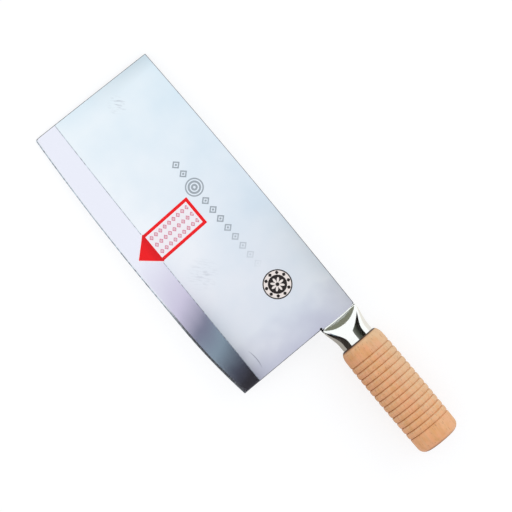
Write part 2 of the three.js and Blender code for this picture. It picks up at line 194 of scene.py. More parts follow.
class Colours(PropertyGroup):
    """Colours of the finishes"""

    satin_steel: colour("Satin steel", "#F2F3F6", "Ground cheeks")
    # Its clouds are the steel's own tone; towards spine and nose it is painted shade.
    satin_shade: colour("Satin shade", "#DAE5EE", "Soft clouds on the cheeks, and towards spine and nose")
    # Painted reflection: a cool, brighter tint on the cheeks towards the nose.
    satin_cool: colour("Satin, cool", "#E2F6F9", "Cheeks towards the nose")
    # Painted shade on the corner of the cheeks between spine and nose.
    satin_corner_shade: colour("Satin, grey", "#8F9BA1", "Handled corner of the cheeks between spine and nose")
    # Painted shade: a violet darkening of the cheeks towards the heel.
    heel_shade: colour("Heat tint", "#CDCDDB", "Cheeks near the tang's weld")
    scratch: colour("Scratch", "#9A9BA8", "Scratch at the heel, and smudges")
    etching: colour("Etching", "#8F979E", "Etched ornament on the cheek")
    ink_dark: colour("Dark ink", "#2A2422", "Ground of the printed roundel")
    ink_pale: colour("Pale ink", "#F0E4DC", "Band and petals of the printed roundel")
    polished_steel: colour("Polished steel", "#EAE9F2", "Wide bevel")
    honed_steel: colour("Honed steel", "#ECECF1", "Sharpened bevel")
    eased_steel: colour("Eased steel", "#8C8E92", "Spine, nose and rear edge")
    eased_shade: colour("Eased shade", "#606266", "Streaks on spine, nose and rear edge")
    # Painted shadow round the relief notch below the ferrule.
    notch_shadow: colour("Soot", "#0E0D0E", "Notch below the ferrule")
    # On the very edge this grey is painted shade.
    grind_line: colour("Grind line", "#666872", "Fine step above the bevel, and the very edge")
    plating: colour("Plating", "#FAFAF5", "Ferrule")
    rod_steel: colour("Rod steel", "#8D9093", "Tang and washer")
    tarnish: colour("Tarnish", "#5E5650", "Spots on tang and washer")
    wood: colour("Wood", "#EEAB77", "Main tone of the grip")
    # Its streaks are the wood's own; on the top, the front and the groove lips it is painted light.
    wood_pale: colour("Pale wood", "#E2B98D", "Light streaks of the grip, its top and its front")
    wood_warm: colour("Warm wood", "#ECA176", "Pinkish patches of the grip")
    wood_gold: colour("Golden wood", "#DF9F5C", "Mottling of the grip")
    # Also painted shade on the grip's underside, in its grooves and on the backs of its beads.
    wood_dark: colour("Dark wood", "#966038", "Grooves and pores of the grip")
    # Painted shadow in the joint between ferrule and grip, and painted shade on the rim of the butt.
    shadow_line: colour("Grime", "#3A2216", "Joint between ferrule and grip, and rim of the butt")
    red: colour("Red", "#F8181E", "Border and point of the label")
    # Also painted shade along the label's fold.
    red_deep: colour("Deep red", "#C8121A", "Ink along the label's fold")
    paper: colour("Paper", "#F8F1F3", "Field of the label")
    pink: colour("Pink", "#DC8298", "Ornament on the label's field")
    floor: colour("Floor", "#E8E8E8", "Seamless paper under the cleaver")
    floor_seen: colour("Floor's shade", "#949494", "Part of the floor's white that its shadow takes away")
    dome: colour("Dome", "#F6FAFD", "Light from most of the dome, and first shade over the bevel")
    dome_dull: colour("Dull dome", "#BCBDC9", "Light from the duller stretch of the dome")
    panel_black: colour("Black panel", "#141410", "Dark stretch of the panels beside the ferrule")
    panel_moss: colour("Moss panel", "#4A4F48", "Middle of the panel at the spine's side of the ferrule")
    panel_ash: colour("Ash panel", "#6E726E", "Upper end of the panel at the spine's side of the ferrule")
    panel_olive: colour("Olive panel", "#777A6D", "Panel beyond the nose")
    panel_umber: colour("Umber panel", "#3C3734", "Panel at the edge's side of the ferrule")
    panel_grey: colour("Grey panel", "#9C9893", "Card on the floor at the edge's side of the ferrule")
    panel_pale: colour("Pale panel", "#E2E0DC", "Card on the floor at the spine's side of the ferrule")
    panel_lavender: colour("Lavender panel", "#D4D0E0", "Panel over the bevel, second of its six shades")
    panel_slate: colour("Slate panel", "#7C8092", "Panel over the bevel, third shade")
    panel_teal: colour("Teal panel", "#869AA4", "Panel over the bevel, fourth shade")
    panel_coal: colour("Coal panel", "#474B57", "Panel over the bevel, fifth shade")
    panel_soot: colour("Soot panel", "#29272B", "Panel over the bevel, last shade")


class StageSizes(PropertyGroup):
    """Camera, floor and light"""

    camera_distance: length("Camera distance", 1000, "Lens to the blade's middle plane")
    view_width: length("View width", 332.8, "Width of the picture on the blade's middle plane")
    aim_along: length("Aim along", -63.9, "Middle of the picture along the knife")
    aim_across: length("Aim across", -15.8, "Middle of the picture across the knife")
    roll: FloatProperty(
        name="Roll", description="Slope of the knife in the picture", default=math.radians(50.15),
        subtype="ANGLE", unit="ROTATION"
    )
    floor_side: length("Floor side", 12000, "Side of the square floor")
    dome_strength: ratio("Dome strength", 1.1, "Level of the dome's light")
    lamp_power: FloatProperty(
        name="Lamp power", description="Soft lamp on the spine's side", default=1.2,
        subtype="POWER", unit="POWER"
    )


class CleaverSettings(PropertyGroup):
    """All that a user would change"""

    blade: PointerProperty(type=BladeSizes, name="Blade", description="Sizes of the blade")
    ferrule: PointerProperty(type=FerruleSizes, name="Ferrule", description="Sizes of the ferrule")
    handle: PointerProperty(type=HandleSizes, name="Handle", description="Sizes of the handle")
    butt: PointerProperty(type=ButtSizes, name="Butt", description="Sizes of tang and washer")
    label: PointerProperty(type=LabelSizes, name="Label", description="Sizes of the label")
    colours: PointerProperty(type=Colours, name="Colours", description="Colours of the finishes")
    stage: PointerProperty(type=StageSizes, name="Stage", description="Camera, floor and light")


def settings():
    return bpy.context.scene.cleaver


# Lines and surfaces of the knife

def lerp(a, b, t):
    return a + (b - a) * t


def smoothstep(t):
    return t * t * (3 - 2 * t)


def spread(first, last, steps):
    """Values from the first to the last in even steps."""
    return [lerp(first, last, i / steps) for i in range(steps + 1)]


def quarter_turn(steps):
    """Angles from 0 to a right angle."""
    return spread(0, math.pi / 2, steps)


def rounded_corner(radius, steps):
    """Steps round a corner: how far each lies below the one face and below the other."""
    return [(radius * (1 - math.cos(t)), radius * (1 - math.sin(t))) for t in quarter_turn(steps)]


def spine_y(x):
    s = settings().blade
    half = s.length / 2
    return s.spine_height + s.spine_crown * (1 - ((x + half) / half) ** 2)


def shoulder_y(x):
    s = settings().blade
    return -s.shoulder_depth + s.shoulder_rise * (x / s.length) ** 2


def edge_y(x):
    s = settings().blade
    to_nose = max(0.0, s.nose_sweep - s.length - s.nose_rake - x)
    to_heel = max(0.0, s.heel_sweep + x)
    rise = s.nose_rise * (to_nose / s.nose_sweep) ** 2 + s.heel_rise * (to_heel / s.heel_sweep) ** 2
    return rise - s.belly_depth


def cheek_half(x, y):
    """Half the thickness on the flat cheek, one plane that thins to the nose and the edge. Only close to the
    nose it swells a touch half way down."""
    s = settings().blade
    along = (s.heel_thickness - s.nose_thickness) / 2 / s.length
    height = s.spine_height + s.shoulder_depth
    across = (s.heel_thickness - s.shoulder_thickness) / 2 / height
    to_nose = min(max(1 - (s.length + x) / s.crown_reach, 0), 1)
    down = min(max((s.spine_height - y) / height, 0), 1)
    crown = s.nose_crown * to_nose ** 2 * 4 * down * (1 - down)
    return s.heel_thickness / 2 + along * x - across * (s.spine_height - y) + crown


def blade_half(x, y):
    """Half the thickness on the cheek or, below its shoulder, on the bevel."""
    s = settings().blade
    shoulder = shoulder_y(x)
    if y >= shoulder:
        return cheek_half(x, y)
    honed = edge_y(x) + s.honed_width
    return lerp(cheek_half(x, shoulder), s.honed_thickness / 2, (y - shoulder) / (honed - shoulder))


def neck_reach():
    """Highest and lowest y of the neck where it leaves the rear edge."""
    s = settings()
    half = s.ferrule.mouth_width / 2 - s.ferrule.wall - s.blade.neck_slack
    return half - s.ferrule.mouth_drop, -half - s.ferrule.mouth_drop


def places():
    """Places along the knife where one piece meets the next."""
    s = settings()
    gap = s.butt.clearance
    ferrule_end = gap + s.ferrule.length
    wood_front = ferrule_end + gap
    wood_end = wood_front + s.handle.length
    return {
        "tongue_end": s.blade.neck_length + s.blade.tongue_length,
        "ferrule_end": ferrule_end,
        "wood_front": wood_front,
        "tenon_front": wood_front - s.handle.tenon_length,
        "wood_end": wood_end,
        "head_base": wood_end - s.butt.head_height - gap,
        "washer_seat": wood_end - s.butt.head_height - s.butt.washer_thickness - 3 * gap,
    }


def grip_radius(x):
    """Radius of the grip's surface, a slight barrel."""
    s = settings().handle
    half = s.length / 2
    from_middle = (x - places()["wood_front"] - half) / half
    return s.diameter / 2 + s.barrel * (1 - from_middle ** 2)


def knife_matrix():
    """The knife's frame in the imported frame. The knife rests on the end of its lower cheek, at the nose, and
    on the front shoulder of its grip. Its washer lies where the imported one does."""
    s = settings()
    nose = s.blade.length + s.blade.nose_rake
    eased = s.blade.spine_height - s.blade.ease
    shoulder = shoulder_y(-nose)
    nose_edge = edge_y(-nose) + s.blade.nose_corner
    lean = s.blade.nose_rake / (s.blade.spine_height - nose_edge)

    def under_nose(y):
        x = -s.blade.length - lean * (s.blade.spine_height - y)
        return Vector((x, y, -cheek_half(x, y)))

    under_shoulder = under_nose(shoulder)
    under_cheek = under_nose(lerp(shoulder, eased, RESTING_SHARE))
    grip_front = places()["wood_front"] + s.handle.front_round
    under_grip = Vector((grip_front, 0, -grip_radius(grip_front)))
    up = (under_shoulder - under_cheek).cross(under_grip - under_cheek).normalized()
    turn = up.rotation_difference(Vector((0, 0, 1))).to_matrix().to_4x4()
    low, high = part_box("butt_washer")
    washer_x = places()["washer_seat"] + s.butt.clearance + s.butt.washer_thickness / 2
    return Matrix.Translation((low + high) / 2 - turn @ Vector((washer_x, 0, 0))) @ turn


# Meshes

def add_quad(shape, corners, finish=0):
    shape.faces.new(corners).material_index = finish


def skin(shape, rings):
    """Joins rings of equally many vertices, each a closed loop, and the last ring to the first."""
    for here, there in zip(rings, rings[1:] + rings[:1]):
        for j in range(len(here)):
            add_quad(shape, (here[j - 1], here[j], there[j], there[j - 1]))


def turned(shape, profile, sides):
    """Skins a shape turned about the x axis from a closed loop of (radius, x), and returns its rings."""
    rings = []
    for radius, x in profile:
        turns = spread(0, 2 * math.pi, sides)[:-1]
        rings.append([shape.verts.new((x, radius * math.cos(t), radius * math.sin(t))) for t in turns])
    skin(shape, rings)
    return rings


def add_piece(name, shape, materials, node, crease=30):
    """Makes an object of a shape in the knife's frame, smooth but for its creases and the lines where its
    finish changes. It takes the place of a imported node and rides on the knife's only body."""
    same_place = 0.001 * MM
    bmesh.ops.remove_doubles(shape, verts=shape.verts, dist=same_place)
    bmesh.ops.recalc_face_normals(shape, faces=shape.faces)
    for face in shape.faces:
        face.smooth = True
    for edge in shape.edges:
        finishes = {face.material_index for face in edge.link_faces}
        edge.smooth = len(finishes) == 1 and edge.calc_face_angle(0) < math.radians(crease)
    mesh = bpy.data.meshes.new(name)
    shape.to_mesh(mesh)
    shape.free()
    for material in materials:
        mesh.materials.append(material)
    place = mesh.attributes.new(PLACE, "FLOAT_VECTOR", "POINT")
    place.data.foreach_set("vector", [c / MM for vertex in mesh.vertices for c in vertex.co])
    mesh.transform(knife_matrix())
    piece = bpy.data.objects.new(name, mesh)
    bpy.context.scene.collection.objects.link(piece)
    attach(piece, BODY)
    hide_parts(node)
    return piece


def cut_slot(tang, end, half):
    """Cuts the fork's slot, from the front of the tang to an end, into its mesh."""
    width = 2 * settings().butt.tang_diameter
    middle = Matrix.Translation((end - width / 2, 0, 0))
    slot = knife_matrix() @ middle @ Matrix.Diagonal((width, width, 2 * half, 1))
    shape = bmesh.new()
    bmesh.ops.create_cube(shape, size=1, matrix=slot)
    mesh = bpy.data.meshes.new("slot")
    shape.to_mesh(mesh)
    shape.free()
    cutter = bpy.data.objects.new("slot", mesh)
    bpy.context.scene.collection.objects.link(cutter)
    modifier = tang.modifiers.new("slot", "BOOLEAN")
    modifier.solver = "EXACT"
    modifier.object = cutter
    depsgraph = bpy.context.evaluated_depsgraph_get()
    whole = tang.data
    tang.data = bpy.data.meshes.new_from_object(tang.evaluated_get(depsgraph))
    tang.modifiers.clear()
    bpy.data.meshes.remove(whole)
    bpy.data.objects.remove(cutter)
    bpy.data.meshes.remove(mesh)


# Materials

# Kinds of node that come up again and again
MATH = "ShaderNodeMath"
VECTOR = "ShaderNodeVectorMath"
AXES = "ShaderNodeSeparateXYZ"
RANGE = "ShaderNodeMapRange"
NOISE = "ShaderNodeTexNoise"
MIX = "ShaderNodeMix"
BUMP = "ShaderNodeBump"

# A mix of colours: its settings, and the sockets of its share and its two colours
BLEND = {"data_type": "RGBA", "output": 2}
SHARE, UNDER, OVER = 0, 6, 7

# Most values of a noise lie between these two
LOW, HIGH = 0.3, 0.7


def add_node(tree, kind, inputs=(), operation=None, output=0, **options):
    """Adds a node, sets its operation and options, sets or links its inputs, and returns one of its
    outputs."""
    node = tree.nodes.new(kind)
    if operation:
        node.operation = operation
    for key, value in options.items():
        setattr(node, key, value)
    set_inputs(node, inputs)
    return node.outputs[output]


def set_inputs(node, inputs):
    """Sets inputs to plain values, or links them to the output of another node. They are named by their
    sockets, or listed in the order of these."""
    pairs = inputs.items() if isinstance(inputs, dict) else enumerate(inputs)
    for key, value in pairs:
        socket = node.inputs[key]
        if isinstance(value, bpy.types.NodeSocket):
            node.id_data.links.new(value, socket)
        else:
            socket.default_value = (*value, 1) if socket.type == "RGBA" else value


def new_material(name):
    """A material, what adds a node to it, and its shader."""
    material = bpy.data.materials.new(name)
    material.use_nodes = True
    tree = material.node_tree
    return material, functools.partial(add_node, tree), tree.nodes["Principled BSDF"]


def piece_material(name):
    """A material for a piece of the knife, what adds a node to it, its shader, and the place on the
    knife."""
    material, add, shader = new_material(name)
    place = add("ShaderNodeAttribute", attribute_name=PLACE, output="Vector")
    return material, add, shader, place


def flat_way(add, place, middle):
    """The way from a middle along the cheek, and its length."""
    way = add(VECTOR, [place, middle], "SUBTRACT")
    way = add(VECTOR, [way, (1, 1, 0)], "MULTIPLY")
    return way, add(VECTOR, [way], "LENGTH", output="Value")


def spot(add, place, middle, inside, outside):
    """A mask round a place that fades between two distances in millimetres."""
    away = add(VECTOR, [place, middle], "DISTANCE", output="Value")
    return add(RANGE, [away, inside, outside, 1, 0])


def near_notch(add, place, inside, outside):
    """A mask round the relief notch."""
    _, neck_bottom = neck_reach()
    return spot(add, place, (0, (neck_bottom - settings().blade.notch) / MM, 0), inside, outside)


def rosette(add, place):
    """Masks of a printed roundel: where its ink lies, and where that ink is pale. A pale band with dark
    beads runs round a flower."""
    radius, bead_count, petal_count = 9.75, 10, 8
    way, reach = flat_way(add, place, (-40.8, -16.8, 0))
    across, up, _ = add(AXES, [way]).node.outputs
    share = add(MATH, [reach, radius], "DIVIDE")
    turn = add(MATH, [up, across], "ARCTAN2")
    ink = add(MATH, [share, 1], "LESS_THAN")

    band_middle, band_half, bead_half, bead_gap = 0.78, 0.14, 0.11, 0.01
    band = add(MATH, [share, band_middle, band_half], "COMPARE")
    bead_turn = add(MATH, [turn, bead_count], "MULTIPLY")
    bead_wave = add(MATH, [bead_turn], "COSINE")
    bead_reach = add(MATH, [bead_wave, bead_half, bead_gap], "MULTIPLY_ADD")
    beads = add(MATH, [share, band_middle, bead_reach], "COMPARE")
    beaded = add(MATH, [band, beads], "SUBTRACT", use_clamp=True)

    petal_length, petal_root, heart = 0.36, 0.12, 0.13
    petal_turn = add(MATH, [turn, petal_count / 2], "MULTIPLY")
    petal_wave = add(MATH, [petal_turn], "COSINE")
    petal_size = add(MATH, [petal_wave], "ABSOLUTE")
    petal_reach = add(MATH, [petal_size, petal_length, petal_root], "MULTIPLY_ADD")
    petals = add(MATH, [share, petal_reach], "LESS_THAN")
    round_heart = add(MATH, [share, heart], "GREATER_THAN")
    flower = add(MATH, [petals, round_heart], "MULTIPLY")
    return ink, add(MATH, [beaded, flower], "MAXIMUM")


def lozenge_row(add, along, across, pitch, half_length, half_width, hollow):
    """Mask of a row of lozenges, one every pitch, as outlines round a small core."""
    cell = add(MATH, [along, pitch], "DIVIDE")
    from_middle = add(MATH, [cell, 0.5], "PINGPONG")
    stretched = add(MATH, [from_middle, pitch / half_length], "MULTIPLY")
    side = add(MATH, [across], "ABSOLUTE")
    reach = add(MATH, [side, 1 / half_width, stretched], "MULTIPLY_ADD")
    outline = add(MATH, [reach, (1 + hollow) / 2, (1 - hollow) / 2], "COMPARE")
    core = add(MATH, [reach, hollow / 2], "LESS_THAN")
    return add(MATH, [outline, core], "MAXIMUM")


def etched_ornament(add, place, along, across):
    """Mask of an etched row of lozenges round a disc of rings. It fades out towards the heel."""
    start, end, height, half_length, half_band = -143, -56, -17.9, 3, 4
    row_along = add(MATH, [along, start], "SUBTRACT")
    row_across = add(MATH, [across, height], "SUBTRACT")
    row = lozenge_row(add, row_along, row_across, 7.6, half_length, half_width=3.2, hollow=0.6)
    band = add(MATH, [across, height, half_band], "COMPARE")

    radius, margin, ring_pitch, ring_gap = 6.2, 0.6, 2.2, 0.4
    _, reach = flat_way(add, place, (-124, height, 0))
    outside = add(MATH, [reach, radius + margin], "GREATER_THAN")
    inside = add(MATH, [reach, radius], "LESS_THAN")
    in_rings = add(MATH, [reach, ring_pitch], "DIVIDE")
    in_ring = add(MATH, [in_rings], "FRACT")
    rings = add(MATH, [in_ring, ring_gap], "GREATER_THAN")
    disc = add(MATH, [inside, rings], "MULTIPLY")

    depth, fade_length = 0.75, 40
    fading = add(RANGE, [along, end - fade_length, end, depth, 0])
    started = add(MATH, [along, start - half_length], "GREATER_THAN")
    for mask in (band, outside):
        row = add(MATH, [row, mask], "MULTIPLY")
    etched = add(MATH, [row, disc], "MAXIMUM")
    for mask in (fading, started):
        etched = add(MATH, [etched, mask], "MULTIPLY")
    return etched


def heel_scratch(add, along, across):
    """Mask of a bowed scratch at the heel that fades out at both ends."""
    middle, half_length, top, bow, half_width, depth = -12.5, 7.5, -58.1, 0.02, 0.3, 0.8
    aside = add(MATH, [along, middle], "SUBTRACT")
    squared = add(MATH, [aside, aside], "MULTIPLY")
    bowed = add(MATH, [squared, bow, across], "MULTIPLY_ADD")
    on_line = add(MATH, [bowed, top, half_width], "COMPARE")
    fading = add(RANGE, [squared, 0, half_length ** 2, depth, 0])
    return add(MATH, [on_line, fading], "MULTIPLY")


def wiped_smudges(add, place):
    """Mask of two smudges, one by the nose and a fainter one at the heel, both wiped the same way."""
    size, slope, fainter = (5, 1.3, 1.3), math.radians(-43), 0.4
    wiped = add("ShaderNodeVectorRotate", {"Vector": place, "Angle": slope}, rotation_type="Z_AXIS")
    in_smears = add(VECTOR, [wiped, size], "DIVIDE")
    smears = add(NOISE, {"Vector": in_smears, "Scale": 1, "Detail": 2})
    smears = add(RANGE, [smears, 0.48, 0.7, 0, 0.7])
    by_nose = spot(add, place, (-198, -22, 2), 1, 7)
    at_heel = spot(add, place, (-77, -50, 2), 2, 12)
    spots = add(MATH, [at_heel, fainter, by_nose], "MULTIPLY_ADD")
    return add(MATH, [spots, smears], "MULTIPLY")


def ground_tones(add, place, along, across):
    """Colour of a bare cheek. Soft clouds lie on it, painted shade darkens it towards the spine and the nose,
    and painted light brightens it between spine and tang. The corner at the nose is painted grey as shade, a
    painted cool reflection tints it towards the nose, and painted shade darkens the heel to violet in patches."""
    c = settings().colours
    nose = -settings().blade.length / MM
    middle, heel, rear = nose / 2, -40, 6
    bevel_to_spine, under_spine, to_corner = (-62, 14), (-12, 10), (-40, 5)
    behind_nose, nose_end, before_tang = (nose + 14, nose), (nose + 10, nose), (-85, -20)
    cloud_size, patch_size = 38, 20

    clouds = add(NOISE, {"Vector": place, "Scale": 1 / cloud_size, "Detail": 3})
    cloud = add(RANGE, [clouds, 0.35, 0.7, -0.15, 0.35], clamp=False)
    # Painted shade towards the spine and towards the nose's end.
    to_spine = add(RANGE, [across, *bevel_to_spine, 0, 0.7])
    to_nose = add(RANGE, [along, *behind_nose, 0, 0.35])
    shaded = add(MATH, [to_nose, to_spine], "ADD")
    # Painted light between spine and tang, which also lessens the painted heel shade.
    by_spine = add(RANGE, [across, *under_spine])
    by_tang = add(RANGE, [along, *before_tang])
    painted_light = add(MATH, [by_spine, by_tang], "MULTIPLY")
    shaded = add(MATH, [painted_light, -0.65, shaded], "MULTIPLY_ADD")
    shaded = add(MATH, [cloud, shaded], "ADD", use_clamp=True)

    # Painted reflection: a cool, brighter tint from the nose to the middle.
    cool = add(RANGE, [along, nose, middle, 0.25, 0])
    # Painted shade: the corner between nose and spine is painted grey.
    at_nose = add(RANGE, [along, *nose_end, 0, 0.27])
    at_corner = add(RANGE, [across, *to_corner])
    painted_shade = add(MATH, [at_nose, at_corner], "MULTIPLY")

    # Painted shade: the cheek darkens to violet towards the heel, in patches.
    patches = add(NOISE, {"Vector": place, "Scale": 1 / patch_size, "Detail": 2})
    shift = add(RANGE, [patches, LOW, HIGH, -5, 8])
    patchy = add(MATH, [along, shift], "ADD")
    heel_shading = add(RANGE, [patchy, heel, rear], interpolation_type="SMOOTHSTEP")
    slight = add(RANGE, [along, middle, heel, 0, 0.2])
    heel_shading = add(MATH, [heel_shading, slight], "MAXIMUM")
    heel_shading = add(MATH, [painted_light, -0.4, heel_shading], "MULTIPLY_ADD", use_clamp=True)

    tones = [(shaded, c.satin_shade), (cool, c.satin_cool), (painted_shade, c.satin_corner_shade), (heel_shading, c.heel_shade)]
    steel = c.satin_steel
    for mask, tone in tones:
        steel = add(MIX, {SHARE: mask, UNDER: steel, OVER: tone}, **BLEND)
    return steel


def satin_ground_steel():
    """Stainless cladding, ground on a fine belt. The belt's lines run from spine to edge and blur what the
    cheek mirrors to a cool white sheen, darkened to violet towards the heel by painted shade. An ornament is
    etched into it, a roundel printed on it, a shallow scratch crosses its heel and two smudges were left in
    wiping it. Painted shadow blackens it round the relief notch."""
    c = settings().colours
    material, add, shader, place = piece_material("stainless_steel_satin_ground")
    along, across, up = add(AXES, [place]).node.outputs
    upper = add(MATH, [up, 0], "GREATER_THAN")
    # Belt lines are about 0.1 mm apart on such a blade, and drawn five times as coarse so that they show.
    line_size, line_depth = (0.5, 40, 40), 0.004 * MM
    in_lines = add(VECTOR, [place, line_size], "DIVIDE")
    lines = add(NOISE, {"Vector": in_lines, "Scale": 1, "Detail": 2})

    etched = etched_ornament(add, place, along, across)
    etched = add(MATH, [etched, upper], "MULTIPLY")
    scratch = heel_scratch(add, along, across)
    smudges = wiped_smudges(add, place)
    marks = add(MATH, [scratch, smudges], "MAXIMUM")
    marks = add(MATH, [marks, upper], "MULTIPLY")
    # Painted shadow round the relief notch.
    notch_shadow = near_notch(add, place, 1.3, 1.9)
    ink, pale = rosette(add, place)
    ink = add(MATH, [ink, upper], "MULTIPLY")
    inks = add(MIX, {SHARE: pale, UNDER: c.ink_dark, OVER: c.ink_pale}, **BLEND)
    surface = ground_tones(add, place, along, across)
    for mask, tone in ((etched, c.etching), (marks, c.scratch), (notch_shadow, c.notch_shadow), (ink, inks)):
        surface = add(MIX, {SHARE: mask, UNDER: surface, OVER: tone}, **BLEND)

    metal = add(MATH, [1, ink], "SUBTRACT")
    rough = add(RANGE, [lines, LOW, HIGH, 0.28, 0.3])
    for mask, rougher in ((etched, 0.25), (ink, 0.2)):
        rough = add(MATH, [mask, rougher, rough], "MULTIPLY_ADD")
    bump = add(BUMP, {"Strength": 0.03, "Distance": line_depth, "Height": lines})
    inputs = {"Base Color": surface, "Metallic": metal, "Roughness": rough, "Normal": bump}
    set_inputs(shader, inputs | {"Specular IOR Level": 0.15})
    return material


def polished_steel():
    """Carbon steel core, ground and polished. It mirrors the room, in waves where the wheel left it
    uneven."""
    c = settings().colours
    material, add, shader, place = piece_material("carbon_steel_polished")
    # Polishing lines are far finer, and drawn 0.6 mm wide so that they show.
    wave_size, wave_height, line_size = (22, 14, 14), 0.12 * MM, (0.6, 18, 18)
    in_waves = add(VECTOR, [place, wave_size], "DIVIDE")
    waves = add(NOISE, {"Vector": in_waves, "Scale": 1, "Detail": 1})
    in_lines = add(VECTOR, [place, line_size], "DIVIDE")
    lines = add(NOISE, {"Vector": in_lines, "Scale": 1, "Detail": 2})
    rough = add(RANGE, [lines, LOW, HIGH, 0.1, 0.14])
    bump = add(BUMP, {"Strength": 1, "Distance": wave_height, "Height": waves})
    set_inputs(shader, {"Base Color": c.polished_steel, "Metallic": 1, "Roughness": rough, "Normal": bump})
    return material


def honed_steel():
    """Carbon steel sharpened on a stone: short scratches square to the edge, which glint as one bright
    line."""
    c = settings().colours
    material, add, shader, place = piece_material("carbon_steel_honed")
    # A stone's scratches are far finer, and drawn 0.25 mm wide so that they show.
    scratch_size = (0.25, 3, 3)
    in_scratches = add(VECTOR, [place, scratch_size], "DIVIDE")
    scratches = add(NOISE, {"Vector": in_scratches, "Scale": 1, "Detail": 2})
    rough = add(RANGE, [scratches, LOW, HIGH, 0.18, 0.34])
    set_inputs(shader, {"Base Color": c.honed_steel, "Metallic": 1, "Roughness": rough})
    return material


def eased_steel():
    """Sheared plate, its corners broken with a file: duller and darker than the ground faces, with streaks
    through its thickness, and painted black as shadow round the notch below the ferrule."""
    c = settings().colours
    material, add, shader, place = piece_material("steel_sheared_and_filed")
    streak_size, streak_depth = (0.7, 0.7, 6), 0.02 * MM
    in_streaks = add(VECTOR, [place, streak_size], "DIVIDE")
    streaks = add(NOISE, {"Vector": in_streaks, "Scale": 1, "Detail": 3})
    tone = add(RANGE, [streaks, 0.35, 0.65])
    # Painted shadow round the relief notch, reaching along the rear edge.
    notch_shadow = near_notch(add, place, 2.8, 11)
    steel = add(MIX, {SHARE: tone, UNDER: c.eased_shade, OVER: c.eased_steel}, **BLEND)
    steel = add(MIX, {SHARE: notch_shadow, UNDER: steel, OVER: c.notch_shadow}, **BLEND)
    rough = add(RANGE, [streaks, LOW, HIGH, 0.3, 0.5])
    bump = add(BUMP, {"Strength": 0.6, "Distance": streak_depth, "Height": streaks})
    set_inputs(shader, {"Base Color": steel, "Metallic": 1, "Roughness": rough, "Normal": bump})
    return material


def line_steel():
    """Fine step where the cladding ends above the core: dull grey, wavering a little. The very edge is painted
    with it as shade."""
    c = settings().colours
    material, add, shader, place = piece_material("steel_grind_step")
    grain_size = 1.6
    grain = add(NOISE, {"Vector": place, "Scale": 1 / grain_size, "Detail": 3})
    tone = add(RANGE, [grain, LOW, HIGH])
    steel = add(MIX, {SHARE: tone, UNDER: c.grind_line, OVER: c.satin_shade}, **BLEND)
    set_inputs(shader, {"Base Color": steel, "Metallic": 1, "Roughness": 0.45})
    return material


def bright_plating():
    """Steel shell, drawn and nickel-plated: a warm white mirror with the faint ripple of drawn sheet, and
    painted shadow on its corner by the notch."""
    c = settings().colours
    material, add, shader, place = piece_material("steel_nickel_plated")
    ripple_size, ripple_height, haze_size = 3.5, 0.02 * MM, 1.2
    ripple = add(NOISE, {"Vector": place, "Scale": 1 / ripple_size, "Detail": 1})
    haze = add(NOISE, {"Vector": place, "Scale": 1 / haze_size, "Detail": 3})
    # Painted shadow on the ferrule's corner by the relief notch.
    notch_shadow = near_notch(add, place, 3.2, 4.2)
    surface = add(MIX, {SHARE: notch_shadow, UNDER: c.plating, OVER: c.notch_shadow}, **BLEND)
    rough = add(RANGE, [haze, 0.35, 0.75, 0.04, 0.12])
    bump = add(BUMP, {"Strength": 1, "Distance": ripple_height, "Height": ripple})
    set_inputs(shader, {"Base Color": surface, "Metallic": 1, "Roughness": rough, "Normal": bump})
    return material


def drawn_steel():
    """Mild steel rod and pressed washer, left as they come: grey, with drawing lines and a little
    tarnish."""
    c = settings().colours
    material, add, shader, place = piece_material("mild_steel_drawn")
    # Drawing lines are finer, and drawn 0.4 mm wide so that they show.
    line_size, line_depth, tarnish_size = (8, 0.4, 0.4), 0.02 * MM, 2.5
    in_lines = add(VECTOR, [place, line_size], "DIVIDE")
    lines = add(NOISE, {"Vector": in_lines, "Scale": 1, "Detail": 3})
    tarnish = add(NOISE, {"Vector": place, "Scale": 1 / tarnish_size, "Detail": 4})
    spots = add(RANGE, [tarnish, 0.5, 0.75, 0, 0.7])
    steel = add(MIX, {SHARE: spots, UNDER: c.rod_steel, OVER: c.tarnish}, **BLEND)
    rough = add(RANGE, [tarnish, LOW, HIGH, 0.32, 0.55])
    bump = add(BUMP, {"Strength": 0.6, "Distance": line_depth, "Height": lines})
    set_inputs(shader, {"Base Color": steel, "Metallic": 1, "Roughness": rough, "Normal": bump})
    return material


